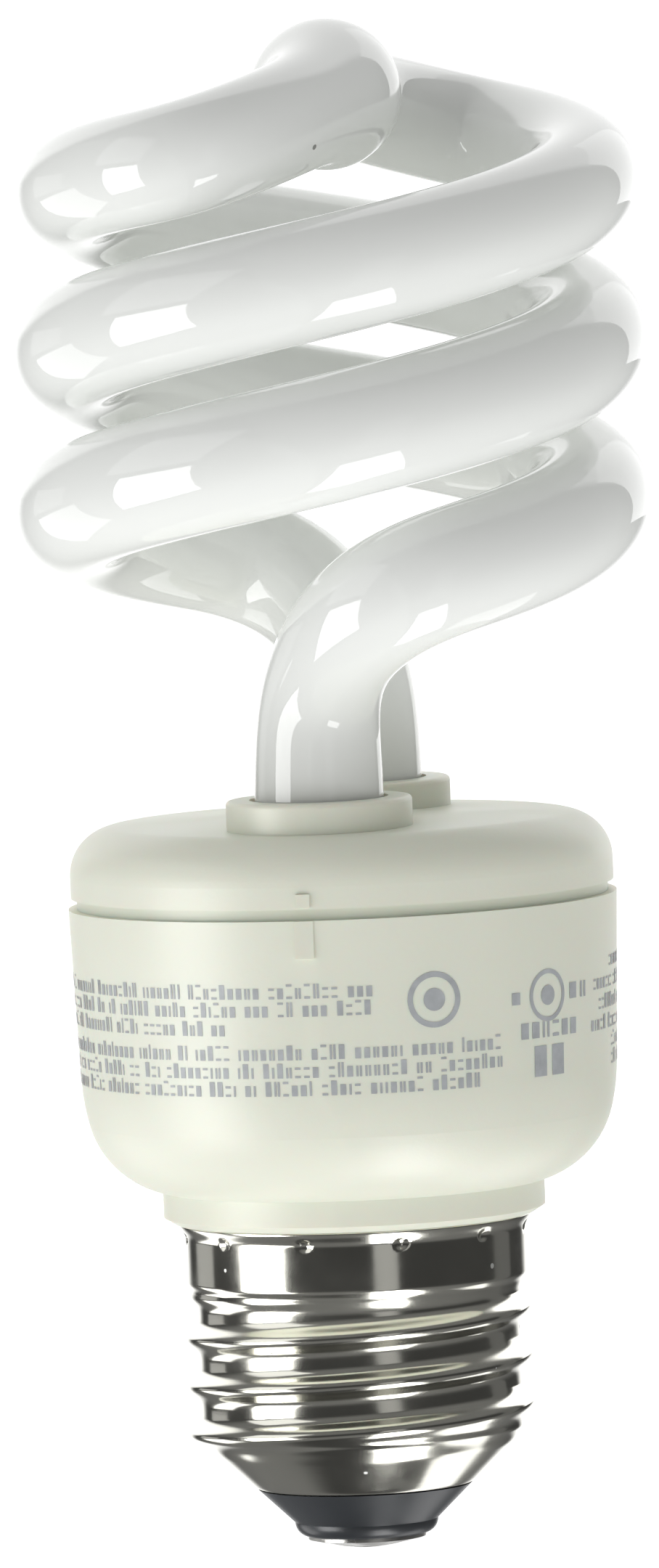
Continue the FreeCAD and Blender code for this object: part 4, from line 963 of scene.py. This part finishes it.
def makeCard(name, card):
    mesh = bpy.data.meshes.new(name)
    wide, tall = card["wide"] / 2, card["tall"] / 2
    corners = [(-wide, -tall, 0), (wide, -tall, 0), (wide, tall, 0), (-wide, tall, 0)]
    mesh.from_pydata(corners, [], [(0, 1, 2, 3)])
    piece = bpy.data.objects.new(name, mesh)
    aimAtObject(piece, card)
    material = bpy.data.materials.new(name + "_light")
    material.use_nodes = True
    tree = material.node_tree
    tree.nodes.clear()
    glow = addNode(tree, "ShaderNodeEmission")
    glow.inputs["Strength"].default_value = card["level"]
    result = addNode(tree, "ShaderNodeOutputMaterial")
    tree.links.new(glow.outputs[0], result.inputs["Surface"])
    mesh.materials.append(material)
    piece.visible_camera = False
    piece.visible_diffuse = False
    piece.visible_shadow = False
    piece.visible_transmission = False


lamps = {
    "leftLamp": dict(azimuth=-60, elevation=-20, distance=0.9, size=0.8, watts=2.7),
    "rightLamp": dict(azimuth=30, elevation=-55, distance=0.8, size=0.8, watts=0.5),
}


def makeLamp(name, lamp):
    light = bpy.data.lights.new(name, "AREA")
    light.shape = "SQUARE"
    light.size = lamp["size"]
    light.energy = lamp["watts"]
    piece = bpy.data.objects.new(name, light)
    aimAtObject(piece, lamp)
    piece.visible_glossy = False


photoView = {
    "height": 2160,  # pixels
    "pixelsPerMm": 18.26,
    "distance": 1500.0,
    "elevation": 4.1,
    "roll": 2.24,
    "aim": (-0.65, 0.0, 8.7),  # from the middle of the seam
    "sensor": 36.0,
}


def makeCamera():
    data = bpy.data.cameras.new("photoCamera")
    data.sensor_width = photoView["sensor"]
    data.lens = photoView["pixelsPerMm"] * photoView["distance"] / photoView["height"] * photoView["sensor"]
    camera = bpy.data.objects.new("photoCamera", data)
    bpy.context.scene.collection.objects.link(camera)
    elevation = math.radians(photoView["elevation"])
    back = Vector((0, -math.cos(elevation), math.sin(elevation)))
    aim = Vector(photoView["aim"]) + Vector((0, 0, seam))
    camera.location = (aim + back * photoView["distance"]) * mm
    roll = Matrix.Rotation(-math.radians(photoView["roll"]), 4, "Z")
    level = back.to_track_quat("Z", "Y").to_matrix().to_4x4()
    camera.rotation_mode = "QUATERNION"
    camera.rotation_quaternion = (level @ roll).to_quaternion()
    bpy.context.scene.camera = camera


makeFloor()
makeWorld()
for name, card in cards.items():
    makeCard(name, card)
for name, lamp in lamps.items():
    makeLamp(name, lamp)
makeCamera()
bpy.context.scene.view_settings.view_transform = "Standard"
print("stage set")
